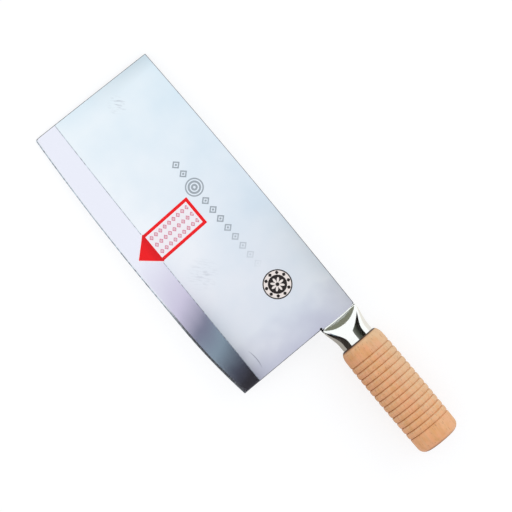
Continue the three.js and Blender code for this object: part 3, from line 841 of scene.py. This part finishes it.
def turned_wood():
    """Pale rubberwood, turned and sanded: golden mottling and short brown pores along the handle and arcs of
    growth rings on its butt. Its top, its front and the lips of its grooves are painted light, its underside
    painted shade. Its grooves are dusty and painted darker towards the underside, and painted shadow lines its
    joint with the ferrule and the rim of its butt."""
    c = settings().colours
    material, add, shader, place = piece_material("rubberwood_turned_and_sanded")
    hollow = add("ShaderNodeAttribute", attribute_name=HOLLOW, output="Fac")
    along, around, _ = add(AXES, [place]).node.outputs
    front, end = places()["wood_front"] / MM, places()["wood_end"] / MM
    middle, lit_length = (front + end) / 2, 6
    top, underside, down_the_side = (-2, 14), (-5, -15), (11, -9)

    streak_size, pore_size, mottle_size, blotch_size = (30, 1.6, 1.6), (2.4, 0.75, 0.75), (7, 4, 4), 16
    figure = []
    for size, detail in ((streak_size, 4), (pore_size, 2), (mottle_size, 2)):
        in_grains = add(VECTOR, [place, size], "DIVIDE")
        figure.append(add(NOISE, {"Vector": in_grains, "Scale": 1, "Detail": detail}))
    streaks, pores, mottle = figure
    blotches = add(NOISE, {"Vector": place, "Scale": 1 / blotch_size, "Detail": 2})
    # The wave texture turns by 20 for each unit of its scaled place.
    pith, ring_spacing = (0, -34, -26), 3.6
    ring_scale = 2 * math.pi / 20 / ring_spacing
    from_pith = add(VECTOR, [place, pith], "SUBTRACT")
    wavering = {"Distortion": 2.5, "Detail": 2, "Detail Scale": 0.6}
    ring_inputs = {"Vector": from_pith, "Scale": ring_scale} | wavering
    rings = add("ShaderNodeTexWave", ring_inputs, output="Fac", wave_type="RINGS", rings_direction="X")

    warm = add(RANGE, [blotches, 0.42, 0.68, 0, 0.6])
    golden = add(RANGE, [mottle, 0.45, 0.7, 0, 0.7])
    # Painted light: the grip's top is lighter, less so towards the butt.
    painted_light = add(RANGE, [around, *top, 0, 0.75])
    light_fade = add(RANGE, [along, middle, end, 1, 0.3])
    painted_light = add(MATH, [painted_light, light_fade], "MULTIPLY")
    # Painted light on the front shoulder of the grip.
    lit_front = add(RANGE, [along, front, front + lit_length, 0.7, 0])
    # Painted light on the front lip of each bead, which faces the nose.
    lips = add(RANGE, [hollow, -0.4, 0, 0.9, 0])
    pale = add(RANGE, [streaks, 0.38, 0.66, -0.1, 0.3], clamp=False)
    for paler in (painted_light, lips):
        pale = add(MATH, [pale, paler], "ADD")
    pale = add(MATH, [pale, lit_front], "ADD", use_clamp=True)
    late = add(RANGE, [rings, 0.55, 1, 0, 0.08])
    fleck = add(RANGE, [pores, 0.6, 0.74, 0, 0.5])
    # Painted shade on the grip's underside.
    painted_shade = add(RANGE, [around, *underside, 0, 0.2])
    # Dusty grooves, with painted shade on the backs of the beads; painted shade also darkens them towards the
    # underside.
    dust_and_shade = add(RANGE, [hollow, 0.1, 1.3])
    lower_shade = add(RANGE, [around, *down_the_side, 0.3, 1])
    dust_and_shade = add(MATH, [dust_and_shade, lower_shade], "MULTIPLY")
    # Painted shadow in the joint with the ferrule, and painted shade round the rim of the butt.
    shadow_line = add(RANGE, [hollow, 1, 1.7])
    tones = [(warm, c.wood_warm), (golden, c.wood_gold), (pale, c.wood_pale)]
    tones += [(mask, c.wood_dark) for mask in (late, fleck, painted_shade, dust_and_shade)]
    wood = c.wood
    for mask, tone in tones + [(shadow_line, c.shadow_line)]:
        wood = add(MIX, {SHARE: mask, UNDER: wood, OVER: tone}, **BLEND)

    grain_depth = 0.06 * MM
    rough = add(RANGE, [streaks, LOW, HIGH, 0.5, 0.66])
    grain = add(MATH, [fleck, -0.8, streaks], "MULTIPLY_ADD")
    bump = add(BUMP, {"Strength": 0.7, "Distance": grain_depth, "Height": grain})
    set_inputs(shader, {"Base Color": wood, "Roughness": rough, "Normal": bump})
    return material


def printed_paper():
    """Coated paper, printed in red and pink: a flat white field in a red frame, and a red point below the
    fold. Its ink is a little uneven, painted shade darkens it along the fold, and its coating gives a dull
    sheen."""
    c = settings().colours
    s = settings().label
    material, add, shader, place = piece_material("coated_paper_printed")
    x, y, _ = add(AXES, [place]).node.outputs
    half, barb, border = s.width / 2 / MM, s.barb / MM, s.border / MM
    above_fold = add(MATH, [y, shoulder_y(-s.from_heel) / MM], "SUBTRACT")
    from_middle = add(MATH, [x, -s.from_heel / MM], "SUBTRACT")
    aside = add(MATH, [above_fold, s.lean, from_middle], "MULTIPLY_ADD")

    field_top = s.length / MM - border
    field_middle, field_half = (field_top + barb) / 2, (field_top - barb) / 2
    wide = add(MATH, [aside, 0, half - border], "COMPARE")
    tall = add(MATH, [above_fold, field_middle, field_half], "COMPARE")
    field = add(MATH, [wide, tall], "MULTIPLY")

    row_spacing, row_margin = 5.5, 1.2
    shifted = add(MATH, [aside, row_spacing / 2], "ADD")
    wrapped = add(MATH, [shifted, row_spacing], "FLOORED_MODULO")
    row_aside = add(MATH, [wrapped, row_spacing / 2], "SUBTRACT")
    ornament = lozenge_row(add, above_fold, row_aside, 3.8, half_length=1.6, half_width=1.75, hollow=0.5)
    rows = add(MATH, [above_fold, field_middle, field_half - row_margin], "COMPARE")
    ornament = add(MATH, [ornament, rows], "MULTIPLY")

    # The cut edges of the point stay unprinted.
    bare_width, bare_top = 0.9, 0.4
    narrowing = (s.width / 2 + s.barb / 2) / s.point
    point_half = add(MATH, [above_fold, narrowing, half + barb], "MULTIPLY_ADD")
    reach = add(MATH, [aside], "ABSOLUTE")
    to_cut = add(MATH, [point_half, reach], "SUBTRACT")
    near_cut = add(MATH, [to_cut, bare_width], "LESS_THAN")
    below = add(MATH, [above_fold, bare_top], "LESS_THAN")
    bare = add(MATH, [near_cut, below], "MULTIPLY")
    field = add(MATH, [field, bare], "MAXIMUM")

    fibre_size, fibre_height = 1.1, 0.01 * MM
    fibres = add(NOISE, {"Vector": place, "Scale": 1 / fibre_size, "Detail": 3})
    uneven = add(RANGE, [fibres, 0.4, 0.75, 0, 0.18])
    from_fold = add(MATH, [above_fold], "ABSOLUTE")
    # Painted shade along the fold, added to the ink's own unevenness.
    fold_shade = add(RANGE, [from_fold, 0, 5, 0.45, 0])
    uneven_and_fold_shade = add(MATH, [uneven, fold_shade], "ADD")
    ink = add(MIX, {SHARE: uneven_and_fold_shade, UNDER: c.red, OVER: c.red_deep}, **BLEND)
    paper = add(MIX, {SHARE: uneven, UNDER: c.paper, OVER: c.floor}, **BLEND)
    paper = add(MIX, {SHARE: ornament, UNDER: paper, OVER: c.pink}, **BLEND)
    surface = add(MIX, {SHARE: field, UNDER: ink, OVER: paper}, **BLEND)
    rough = add(RANGE, [fibres, LOW, HIGH, 0.6, 0.75])
    bump = add(BUMP, {"Strength": 0.5, "Distance": fibre_height, "Height": fibres})
    inputs = {"Base Color": surface, "Roughness": rough, "Specular IOR Level": 0.2, "Normal": bump}
    set_inputs(shader, inputs)
    return material


def seamless_paper():
    """Matt paper under the cleaver. To the eye and in the metal it is white, and it keeps the soft
    shadow."""
    c = settings().colours
    material, add, shader = new_material("paper_seamless_white")
    rays = add("ShaderNodeLightPath").node.outputs
    seen = add(MATH, [rays["Is Camera Ray"], rays["Is Glossy Ray"]], "ADD")
    seen = add(MATH, [seen, rays["Is Transmission Ray"]], "ADD")
    tone = add(MIX, {SHARE: seen, UNDER: c.floor, OVER: c.floor_seen}, **BLEND)
    own_white = 0.74
    glow = add(MATH, [seen, own_white], "MULTIPLY")
    inputs = {"Base Color": tone, "Roughness": 0.9, "Specular IOR Level": 0}
    set_inputs(shader, inputs | {"Emission Color": (1, 1, 1), "Emission Strength": glow})
    return material


def studio_panel(name, shades, run=(1, 0, 0), mottle=0):
    """Card, painted with a broad brush, that the metal mirrors and nothing else sees. Its shade is graded
    from one side of its box to the other, and can be mottled."""
    material, add, shader = new_material(name)
    place = add("ShaderNodeTexCoord", output="Generated")
    share = add(VECTOR, [place, run], "DOT_PRODUCT", output="Value")
    patches_across = 3
    clouds = add(NOISE, {"Vector": place, "Scale": patches_across, "Detail": 2})
    share = add(MATH, [clouds, mottle, share], "MULTIPLY_ADD")
    grade = add("ShaderNodeValToRGB", [share])
    stops = grade.node.color_ramp.elements
    for _ in shades[2:]:
        stops.new(0.5)
    for stop, (position, shade) in zip(stops, shades):
        stop.position = position
        stop.color = (*shade, 1)
    glow = {"Emission Color": grade, "Emission Strength": settings().stage.dome_strength}
    set_inputs(shader, {"Base Color": (0, 0, 0), "Specular IOR Level": 0} | glow)
    return material


# Blade rows

NOTCH_FADE = 8  # radii of the relief notch over which it fades out
BURR = 0.35  # part of the notch by which the lower side stands out there

# Steps from row to row, from the spine to the edge
ARC_STEPS = 4
NECK_STEPS = 6
NOTCH_STEPS = 8
CHEEK_STEPS = 10
BEVEL_STEPS = 8
HONED_STEPS = 2
FIRST_NECK_ROW = ARC_STEPS + 2
LAST_NECK_ROW = FIRST_NECK_ROW + NECK_STEPS


def row_finishes():
    """The finish below each row of the blade, from the spine to the edge."""
    cheek_rows = 2 + NECK_STEPS + NOTCH_STEPS + 1 + CHEEK_STEPS
    finishes = [EASED] * ARC_STEPS + [SATIN] * cheek_rows + [LINE]
    # The last row, along the very edge, takes the grind step's dull grey as painted shade.
    return finishes + [POLISHED] * BEVEL_STEPS + [HONED] * (HONED_STEPS - 1) + [LINE]


def blade_row_points(share, sunk=0.0, at_rear=False, notched=1.0):
    """Points of the upper side from spine to edge, at a share of the way from nose to rear edge. They sink
    where the cut end is rounded, but at the rear the neck stays flush. The relief notch draws them in."""
    s = settings().blade
    nose = s.length + s.nose_rake
    spine_x = -s.length * (1 - share)
    edge_x = -nose * (1 - share)
    spine = spine_y(spine_x)
    into_corner = max(0.0, s.nose_corner - nose * share)
    low = edge_y(edge_x) + s.nose_corner - math.sqrt(s.nose_corner ** 2 - into_corner ** 2)
    shoulder = shoulder_y(edge_x)
    honed = low + s.honed_width
    top, bottom = neck_reach()
    notch_y = bottom - s.notch
    notch_fade = notched * max(0.0, 1 + spine_x / (NOTCH_FADE * s.notch))

    def along(y):
        notch = math.sqrt(max(0.0, s.notch ** 2 - (y - notch_y) ** 2))
        return lerp(spine_x, edge_x, (spine - y) / (spine - low)) - notch * notch_fade

    eased_half = cheek_half(spine_x, spine - s.ease)
    rows = [(spine - down, eased_half - inward) for down, inward in rounded_corner(s.ease, ARC_STEPS)]
    levels = [top + s.ease] + spread(top, bottom, NECK_STEPS)
    levels += [notch_y + s.notch * math.cos(turn) for turn in spread(0, math.pi, NOTCH_STEPS)]
    levels += spread(notch_y - s.notch, shoulder, CHEEK_STEPS)[1:]
    rows += [(y, cheek_half(along(y), y)) for y in levels]
    shoulder_half, honed_half = cheek_half(along(shoulder), shoulder), s.honed_thickness / 2
    for y in spread(shoulder - s.grind_line, honed, BEVEL_STEPS):
        rows.append((y, lerp(shoulder_half, honed_half, (shoulder - y) / (shoulder - honed))))
    halves = spread(honed_half, s.edge_thickness / 2, HONED_STEPS)
    rows += list(zip(spread(honed, low, HONED_STEPS), halves))[1:]

    points = []
    for row, (y, half) in enumerate(rows):
        flush = at_rear and FIRST_NECK_ROW <= row <= LAST_NECK_ROW
        points.append(Vector((along(y), y, half - (0 if flush else min(sunk, half / 2)))))
    return points


def neck_row_points(x, high, low):
    """Points of the upper side of the neck or the tongue, from one side to the other."""
    return [Vector((x, y, cheek_half(x, y))) for y in spread(high, low, NECK_STEPS)]


def add_rows(shape, points, under=None):
    """Pairs of vertices on the upper and the lower side."""
    pairs = zip(points, under or points)
    return [(shape.verts.new(p), shape.verts.new((q.x, q.y, -q.z))) for p, q in pairs]


def add_blade_rows(shape, share, sunk=0.0, at_rear=False):
    """A row across the blade. The relief notch is a recess in its upper side, with a burr below."""
    points = blade_row_points(share, sunk, at_rear)
    return add_rows(shape, points, blade_row_points(share, sunk, at_rear, notched=-BURR))


def join_rows(shape, here, there, finishes):
    """Skins both sides between two rows, and the strips along their ends."""
    for j, finish in enumerate(finishes):
        for side in (0, 1):
            add_quad(shape, (here[j][side], here[j + 1][side], there[j + 1][side], there[j][side]), finish)
    for j in (0, -1):
        add_quad(shape, (*here[j], *reversed(there[j])), EASED)


def close_rows(shape, row):
    """Closes the end of both sides along a row."""
    for (upper, lower), (next_upper, next_lower) in zip(row, row[1:]):
        add_quad(shape, (upper, lower, next_lower, next_upper), EASED)


def add_neck(shape, flush_rows):
    """The neck, hollow on both sides as it narrows, and the tongue, from the rear edge into the tang's
    fork."""
    s = settings().blade
    top, bottom = neck_reach()
    tongue = s.tongue_width / 2
    start = settings().butt.clearance
    bend = s.neck_length / 2
    neck = [add_rows(shape, neck_row_points(start, top, bottom))]
    for t in spread(0, 1, NECK_STEPS)[1:]:
        x = (1 - t) ** 2 * start + 2 * t * (1 - t) * bend + t * t * s.neck_length
        high = lerp(tongue, top, (1 - t) ** 2)
        low = lerp(-tongue, bottom, (1 - t) ** 2)
        neck.append(add_rows(shape, neck_row_points(x, high, low)))
    neck.append(add_rows(shape, neck_row_points(places()["tongue_end"], tongue, -tongue)))
    for here, there in zip([flush_rows] + neck, neck):
        join_rows(shape, here, there, [SATIN] * NECK_STEPS)
    close_rows(shape, neck[-1])


# Grip

def grooved_stretch(first):
    """Profile of the ring grooves and the beads between them, from the middle of the first groove. With each
    radius and place goes how dark it is painted there: dusty in the grooves. A bead's front lip is painted
    light and its back painted shade."""
    s = settings().handle
    half = s.groove_width / 2
    land = s.groove_pitch - s.groove_width
    groove_steps, bead_steps, sharpness, lip = 10, 8, 1.2, 0.6
    profile = []
    for i in range(s.grooves):
        middle = first + i * s.groove_pitch
        for share in spread(-1, 1, groove_steps):
            dip = (1 - abs(share)) ** sharpness
            profile.append((grip_radius(middle) - s.groove_depth * dip, middle + half * share, dip))
        for share in spread(0, 1, bead_steps)[1:-1]:
            x = middle + half + land * share
            crown = s.bead_crown * (1 - (2 * share - 1) ** 2)
            # Below 0 the bead's front lip is painted light; above 0 its back is painted shade.
            depth = min(0, 2 * share - lip) + max(0, share - lip)
            profile.append((grip_radius(x) + crown, x, depth))
    # No bead follows the last groove.
    return profile[:1 - bead_steps]


# Stage

def add_board(name, corners, material):
    """A flat board that isn't part of the cleaver."""
    mesh = bpy.data.meshes.new(name)
    mesh.from_pydata(corners, [], [(0, 1, 2, 3)])
    mesh.materials.append(material)
    board = bpy.data.objects.new(name, mesh)
    bpy.context.scene.collection.objects.link(board)
    return board


def add_panels(knife):
    """Panels round the cleaver, as set up in a studio for polished metal. Only what the metal mirrors shows
    them. Their corners are in millimetres, in the knife's frame."""
    c = settings().colours
    grey, pale, olive = ([(0, shade), (1, shade)] for shade in (c.panel_grey, c.panel_pale, c.panel_olive))
    dark = [(0, c.panel_ash), (0.32, c.panel_moss), (0.6, c.panel_black)]
    brown = [(0.58, c.panel_black), (0.9, c.panel_umber)]
    shades = [(0.05, c.dome), (0.37, c.panel_lavender), (0.535, c.panel_slate), (0.68, c.panel_teal)]
    shades += [(0.835, c.panel_coal), (0.95, c.panel_soot)]
    lean, mottle = 0.09, 0.08
    shades = [(position + (lean + mottle) / 2, shade) for position, shade in shades]
    panels = {
        "edge_side_card": (
            studio_panel("card_painted_grey", grey),
            [(2, -20, -12.9), (60, -20, -16.1), (60, -140, -14.4), (2, -140, -11.2)],
        ),
        "spine_side_card": (
            studio_panel("card_painted_pale", pale),
            [(2, 20, -12.8), (60, 20, -16.2), (60, 110, -16.2), (2, 110, -12.8)],
        ),
        "bevel_panel": (
            studio_panel("card_painted_graded", shades, run=(1, lean, 0), mottle=mottle),
            [(-122, -71, 60), (5, -71, 60), (5, -97, 60), (-122, -97, 60)],
        ),
        "spine_side_panel": (
            studio_panel("card_painted_black", dark, run=(0, 1, 0)),
            [(-80, 22, 158), (45, 22, 158), (45, 140, 68), (-80, 140, 68)],
        ),
        "edge_side_panel": (
            studio_panel("card_painted_umber", brown),
            [(-75, -120, 100), (45, -120, 100), (45, -140, -14), (-75, -140, -7.4)],
        ),
        "nose_side_panel": (
            studio_panel("card_painted_olive", olive),
            [(-270, -170, 80), (-270, 170, 80), (-270, 170, 2), (-270, -170, 2)],
        ),
    }
    for name, (material, corners) in panels.items():
        board = add_board(name, [knife @ (Vector(corner) * MM) for corner in corners], material)
        board.visible_camera = False
        board.visible_diffuse = False
        board.visible_shadow = False
        board.visible_transmission = False


def add_dome(scene):
    """An even white dome, with a duller stretch overhead towards the butt that shades the blade's heel."""
    c = settings().colours
    world = bpy.data.worlds.new("studio_dome")
    world.use_nodes = True
    scene.world = world
    tree = world.node_tree
    add = functools.partial(add_node, tree)
    direction = add("ShaderNodeTexCoord", output="Generated")
    to_butt, _, up = add(AXES, [direction]).node.outputs
    past_zenith, before_horizon, climb = (-0.05, 0.12), (0.8, 0.6), (0.3, 0.7)
    dull = add(RANGE, [to_butt, *past_zenith], interpolation_type="SMOOTHSTEP")
    before_end = add(RANGE, [to_butt, *before_horizon], interpolation_type="SMOOTHSTEP")
    overhead = add(RANGE, [up, *climb], interpolation_type="SMOOTHSTEP")
    for mask in (before_end, overhead):
        dull = add(MATH, [dull, mask], "MULTIPLY")
    light = add(MIX, {SHARE: dull, UNDER: c.dome, OVER: c.dome_dull}, **BLEND)
    set_inputs(tree.nodes["Background"], {"Color": light, "Strength": settings().stage.dome_strength})


def add_lamp(scene, knife):
    """A soft lamp on the spine's side. Its sizes are in metres."""
    width, height, away = 0.7, 0.4, Vector((0.1, 0.8, 0.6))
    data = bpy.data.lights.new("soft_lamp", "AREA")
    data.shape = "RECTANGLE"
    data.size = width
    data.size_y = height
    data.energy = settings().stage.lamp_power
    lamp = bpy.data.objects.new("soft_lamp", data)
    scene.collection.objects.link(lamp)
    lamp.location = knife.to_3x3() @ away
    lamp.rotation_mode = "QUATERNION"
    lamp.rotation_quaternion = lamp.location.to_track_quat("Z", "Y")


def add_camera(scene, knife):
    """A camera straight above the lying cleaver, turned so that the knife slopes down to the right."""
    s = settings().stage
    data = bpy.data.cameras.new("camera")
    data.lens = data.sensor_width * s.camera_distance / s.view_width
    camera = bpy.data.objects.new("camera", data)
    scene.collection.objects.link(camera)
    aim = knife @ Vector((s.aim_along, s.aim_across, 0))
    camera.location = aim + Vector((0, 0, s.camera_distance))
    camera.rotation_euler.z = s.roll
    scene.camera = camera


# Operators

class CLEAVER_OT_blade(Operator):
    """Makes the ground blade with its neck and tongue"""

    bl_idname = "cleaver.blade"
    bl_label = "Blade"

    def execute(self, context):
        s = settings().blade
        nose = s.length + s.nose_rake
        finishes = row_finishes()
        shape = bmesh.new()
        end_finishes = [EASED] * len(finishes)
        flush = range(FIRST_NECK_ROW, LAST_NECK_ROW)
        rear_finishes = [SATIN if j in flush else EASED for j in range(len(finishes))]
        rounding = rounded_corner(s.ease, ARC_STEPS)
        rows = [add_blade_rows(shape, inward / nose, sunk) for inward, sunk in rounding]
        bands = [end_finishes] * ARC_STEPS
        corner_steps, body_steps, rear_steps = 6, 64, 8
        rear_start = nose - NOTCH_FADE * s.notch
        inwards = spread(s.ease, s.nose_corner, corner_steps)[1:]
        inwards += spread(s.nose_corner, rear_start, body_steps)[1:]
        inwards += spread(rear_start, nose - s.ease, rear_steps)[1:]
        for inward in inwards:
            rows.append(add_blade_rows(shape, inward / nose))
            bands.append(finishes)
        for inward, sunk in reversed(rounding[:-1]):
            rows.append(add_blade_rows(shape, 1 - inward / nose, sunk, at_rear=True))
            bands.append(rear_finishes)
        for here, there, band in zip(rows, rows[1:], bands):
            join_rows(shape, here, there, band)
        rear = rows[-1]
        close_rows(shape, rows[0])
        close_rows(shape, rear[:FIRST_NECK_ROW + 1])
        close_rows(shape, rear[LAST_NECK_ROW:])
        add_neck(shape, rear[FIRST_NECK_ROW:LAST_NECK_ROW + 1])
        materials = [satin_ground_steel(), polished_steel(), honed_steel(), eased_steel(), line_steel()]
        add_piece("ground_blade", shape, materials, "blade")
        return {"FINISHED"}


class CLEAVER_OT_tang(Operator):
    """Makes the rod tang: a fork over the blade's tongue, a plain shank and a peened head"""

    bl_idname = "cleaver.tang"
    bl_label = "Tang"

    def execute(self, context):
        s = settings().butt
        at = places()
        radius = s.tang_diameter / 2
        front = settings().blade.neck_length + s.clearance
        head = s.head_diameter / 2
        profile = [(0, front), (radius, front), (radius, at["head_base"]), (head, at["head_base"])]
        for turn in quarter_turn(steps=10)[1:]:
            profile.append((head * math.cos(turn), at["head_base"] + s.head_height * math.sin(turn)))
        shape = bmesh.new()
        turned(shape, profile, sides=64)
        # Each hammer blow leaves a shallow flat on the head.
        blow_size, blow_depth = 3.2 * MM, 0.12 * MM
        for vertex in shape.verts:
            if vertex.co.x > at["head_base"] + s.head_height / 4:
                vertex.co.x -= blow_depth * (1 + noise.noise(vertex.co / blow_size))
        slot_half = cheek_half(at["tongue_end"], settings().blade.tongue_width / 2) + s.clearance
        tang = add_piece("rod_tang", shape, [drawn_steel()], "tang")
        cut_slot(tang, at["tongue_end"] + s.clearance, slot_half)
        return {"FINISHED"}


class CLEAVER_OT_ferrule(Operator):
    """Makes the plated ferrule"""

    bl_idname = "cleaver.ferrule"
    bl_label = "Ferrule"

    def execute(self, context):
        s = settings().ferrule
        gap = settings().butt.clearance
        end = places()["ferrule_end"]
        top, _ = neck_reach()
        mouth_half_height = cheek_half(settings().blade.neck_length, top) + gap + s.wall
        collar = s.collar_diameter / 2
        flare_length = s.length - s.collar_length
        sides, steps, lip_steps = 192, 64, 4
        shape = bmesh.new()

        def ring(share, inset, back=0.0):
            """A section from a flat box with round corners, at share 0, to a circle."""
            flare = min(1.0, share * s.length / flare_length)
            widen = smoothstep(flare)
            climb = max(0.0, flare * flare_length - s.rim) / (flare_length - s.rim)
            rise = 1 - (1 - climb) ** s.swell
            half_width = lerp(s.mouth_width / 2, collar, widen) - inset
            half_height = lerp(mouth_half_height, collar, rise) - inset
            middle = lerp(-s.mouth_drop, 0, widen)
            power = lerp(s.squareness, 2, math.sqrt(rise))
            points = []
            for turn in spread(0, 2 * math.pi, sides)[:-1]:
                reach = (abs(math.cos(turn)) ** power + abs(math.sin(turn)) ** power) ** (-1 / power)
                across, up = reach * math.cos(turn), reach * math.sin(turn)
                x = lerp(gap + s.scallop * (1 - across ** 2), end, share) + back
                points.append(shape.verts.new((x, middle + half_width * across, half_height * up)))
            return points

        lip = s.wall / 2
        rings = [ring(i / steps, 0, back=lip if i == 0 else 0) for i in range(steps + 1)]
        rings += [ring(i / steps, s.wall, back=lip if i == 0 else 0) for i in reversed(range(steps + 1))]
        for turn in spread(0, math.pi, 2 * lip_steps)[1:-1]:
            rings.append(ring(0, lip * (1 + math.cos(turn)), back=lip * (1 - math.sin(turn))))
        skin(shape, rings)
        add_piece("plated_ferrule", shape, [bright_plating()], "ferrule", crease=40)
        return {"FINISHED"}


class CLEAVER_OT_handle(Operator):
    """Makes the turned handle"""

    bl_idname = "cleaver.handle"
    bl_label = "Handle"

    def execute(self, context):
        s = settings().handle
        b = settings().butt
        f = settings().ferrule
        at = places()
        collar = f.collar_diameter / 2
        tenon = collar - f.wall - b.clearance
        front, end = at["wood_front"], at["wood_end"]
        # Radius, place along the knife, and how dark it is painted there: dusty in the grooves, painted shadow
        # at the joint and painted shade on the butt's rim
        profile = [(s.tenon_tip / 2, at["tenon_front"], 0), (tenon, front - f.collar_length / 2, 0)]
        profile.append((tenon, front, 1))
        # Painted shadow where the grip meets the ferrule.
        joint_shadow, joint_fade = 3.2, 4.6
        for turn in quarter_turn(steps=12):
            radius = lerp(collar, grip_radius(front + s.front_round), math.sin(turn))
            depth = max(0, joint_shadow - joint_fade * math.sin(turn))
            profile.append((radius, front + s.front_round * (1 - math.cos(turn)), depth))
        profile += grooved_stretch(front + s.first_groove)
        # Painted shade round the rim of the butt.
        rim_shade, rim_turn, rim_spread = 1.3, math.radians(66), math.radians(16)
        for turn in quarter_turn(steps=14):
            radius = grip_radius(end - s.butt_round) - s.butt_round * (1 - math.cos(turn))
            depth = rim_shade * math.exp(-((turn - rim_turn) / rim_spread) ** 2)
            profile.append((radius, end - s.butt_round * (1 - math.sin(turn)), depth))
        washer_bore = b.washer_diameter / 2 + b.clearance
        tang_bore = b.tang_diameter / 2 + b.clearance
        profile += [(washer_bore, end, 0), (washer_bore, at["washer_seat"], 1)]
        profile += [(tang_bore, at["washer_seat"], 1), (tang_bore, at["tenon_front"], 1)]
        shape = bmesh.new()
        hollow = shape.verts.layers.float.new(HOLLOW)
        rings = turned(shape, [(radius, x) for radius, x, _ in profile], sides=144)
        for ring, (_, _, depth) in zip(rings, profile):
            for vertex in ring:
                vertex[hollow] = depth
        add_piece("turned_handle", shape, [turned_wood()], "handle", crease=50)
        return {"FINISHED"}


class CLEAVER_OT_washer(Operator):
    """Makes the washer under the peened end"""

    bl_idname = "cleaver.washer"
    bl_label = "Washer"

    def execute(self, context):
        s = settings().butt
        inside = s.tang_diameter / 2 + s.clearance
        outside = s.washer_diameter / 2
        back = places()["washer_seat"] + s.clearance
        front = back + s.washer_thickness
        profile = [(inside, back), (outside, back)]
        for inward, down in rounded_corner(s.washer_ease, steps=5):
            profile.append((outside - inward, front - down))
        profile.append((inside, front))
        shape = bmesh.new()
        turned(shape, profile, sides=72)
        add_piece("pressed_washer", shape, [drawn_steel()], "butt_washer")
        return {"FINISHED"}


class CLEAVER_OT_label(Operator):
    """Makes the paper label, folded over the bevel's shoulder"""

    bl_idname = "cleaver.label"
    bl_label = "Label"

    def execute(self, context):
        s = settings().label
        middle = -s.from_heel
        fold = shoulder_y(middle)
        half = s.width / 2
        point_steps, flat_steps, columns = 10, 20, 12
        halves = spread(s.barb / 2, half + s.barb, point_steps)
        point = zip(spread(fold - s.point, fold, point_steps), halves)
        flat = [(y, half) for y in spread(fold + s.barb, fold + s.length, flat_steps)]
        shape = bmesh.new()
        rows = []
        for y, reach in [*point, *flat]:
            row = []
            for aside in spread(-reach, reach, columns):
                x = middle + aside + (fold - y) * s.lean
                under = blade_half(x, y) + s.glue
                row.append((shape.verts.new((x, y, under + s.thickness)), shape.verts.new((x, y, under))))
            rows.append(row)
        for here, there in zip(rows, rows[1:]):
            join_rows(shape, here, there, [0] * columns)
        close_rows(shape, rows[0])
        close_rows(shape, rows[-1])
        # The strips along the ends got a finish of the blade, and the paper has only one.
        for face in shape.faces:
            face.material_index = 0
        add_piece("paper_label", shape, [printed_paper()], "label")
        return {"FINISHED"}


class CLEAVER_OT_stage(Operator):
    """Makes the floor, the light and the camera"""

    bl_idname = "cleaver.stage"
    bl_label = "Stage"

    def execute(self, context):
        scene = context.scene
        knife = knife_matrix()
        half = settings().stage.floor_side / 2
        corners = [(-half, -half, 0), (half, -half, 0), (half, half, 0), (-half, half, 0)]
        add_board("floor", corners, seamless_paper())
        add_panels(knife)
        add_dome(scene)
        add_lamp(scene, knife)
        add_camera(scene, knife)
        scene.view_settings.view_transform = "Standard"
        return {"FINISHED"}


class CLEAVER_PT_panel(Panel):
    """Lists the pieces of the cleaver"""

    bl_label = "Bone Cleaver"
    bl_idname = "CLEAVER_PT_panel"
    bl_space_type = "VIEW_3D"
    bl_region_type = "UI"
    bl_category = "Cleaver"

    def draw(self, context):
        for operator in OPERATORS:
            self.layout.operator(operator.bl_idname)


GROUPS = (BladeSizes, FerruleSizes, HandleSizes, ButtSizes, LabelSizes, Colours, StageSizes, CleaverSettings)
OPERATORS = (
    CLEAVER_OT_blade,
    CLEAVER_OT_tang,
    CLEAVER_OT_ferrule,
    CLEAVER_OT_handle,
    CLEAVER_OT_washer,
    CLEAVER_OT_label,
    CLEAVER_OT_stage,
)
CLASSES = (*GROUPS, *OPERATORS, CLEAVER_PT_panel)


def register():
    for one in CLASSES:
        bpy.utils.register_class(one)
    bpy.types.Scene.cleaver = PointerProperty(type=CleaverSettings)


def unregister():
    del bpy.types.Scene.cleaver
    for one in reversed(CLASSES):
        bpy.utils.unregister_class(one)


def main():
    register()
    bpy.ops.cleaver.blade()
    bpy.ops.cleaver.tang()
    bpy.ops.cleaver.ferrule()
    bpy.ops.cleaver.handle()
    bpy.ops.cleaver.washer()
    bpy.ops.cleaver.label()
    bpy.ops.cleaver.stage()


if __name__ == "__main__":
    main()
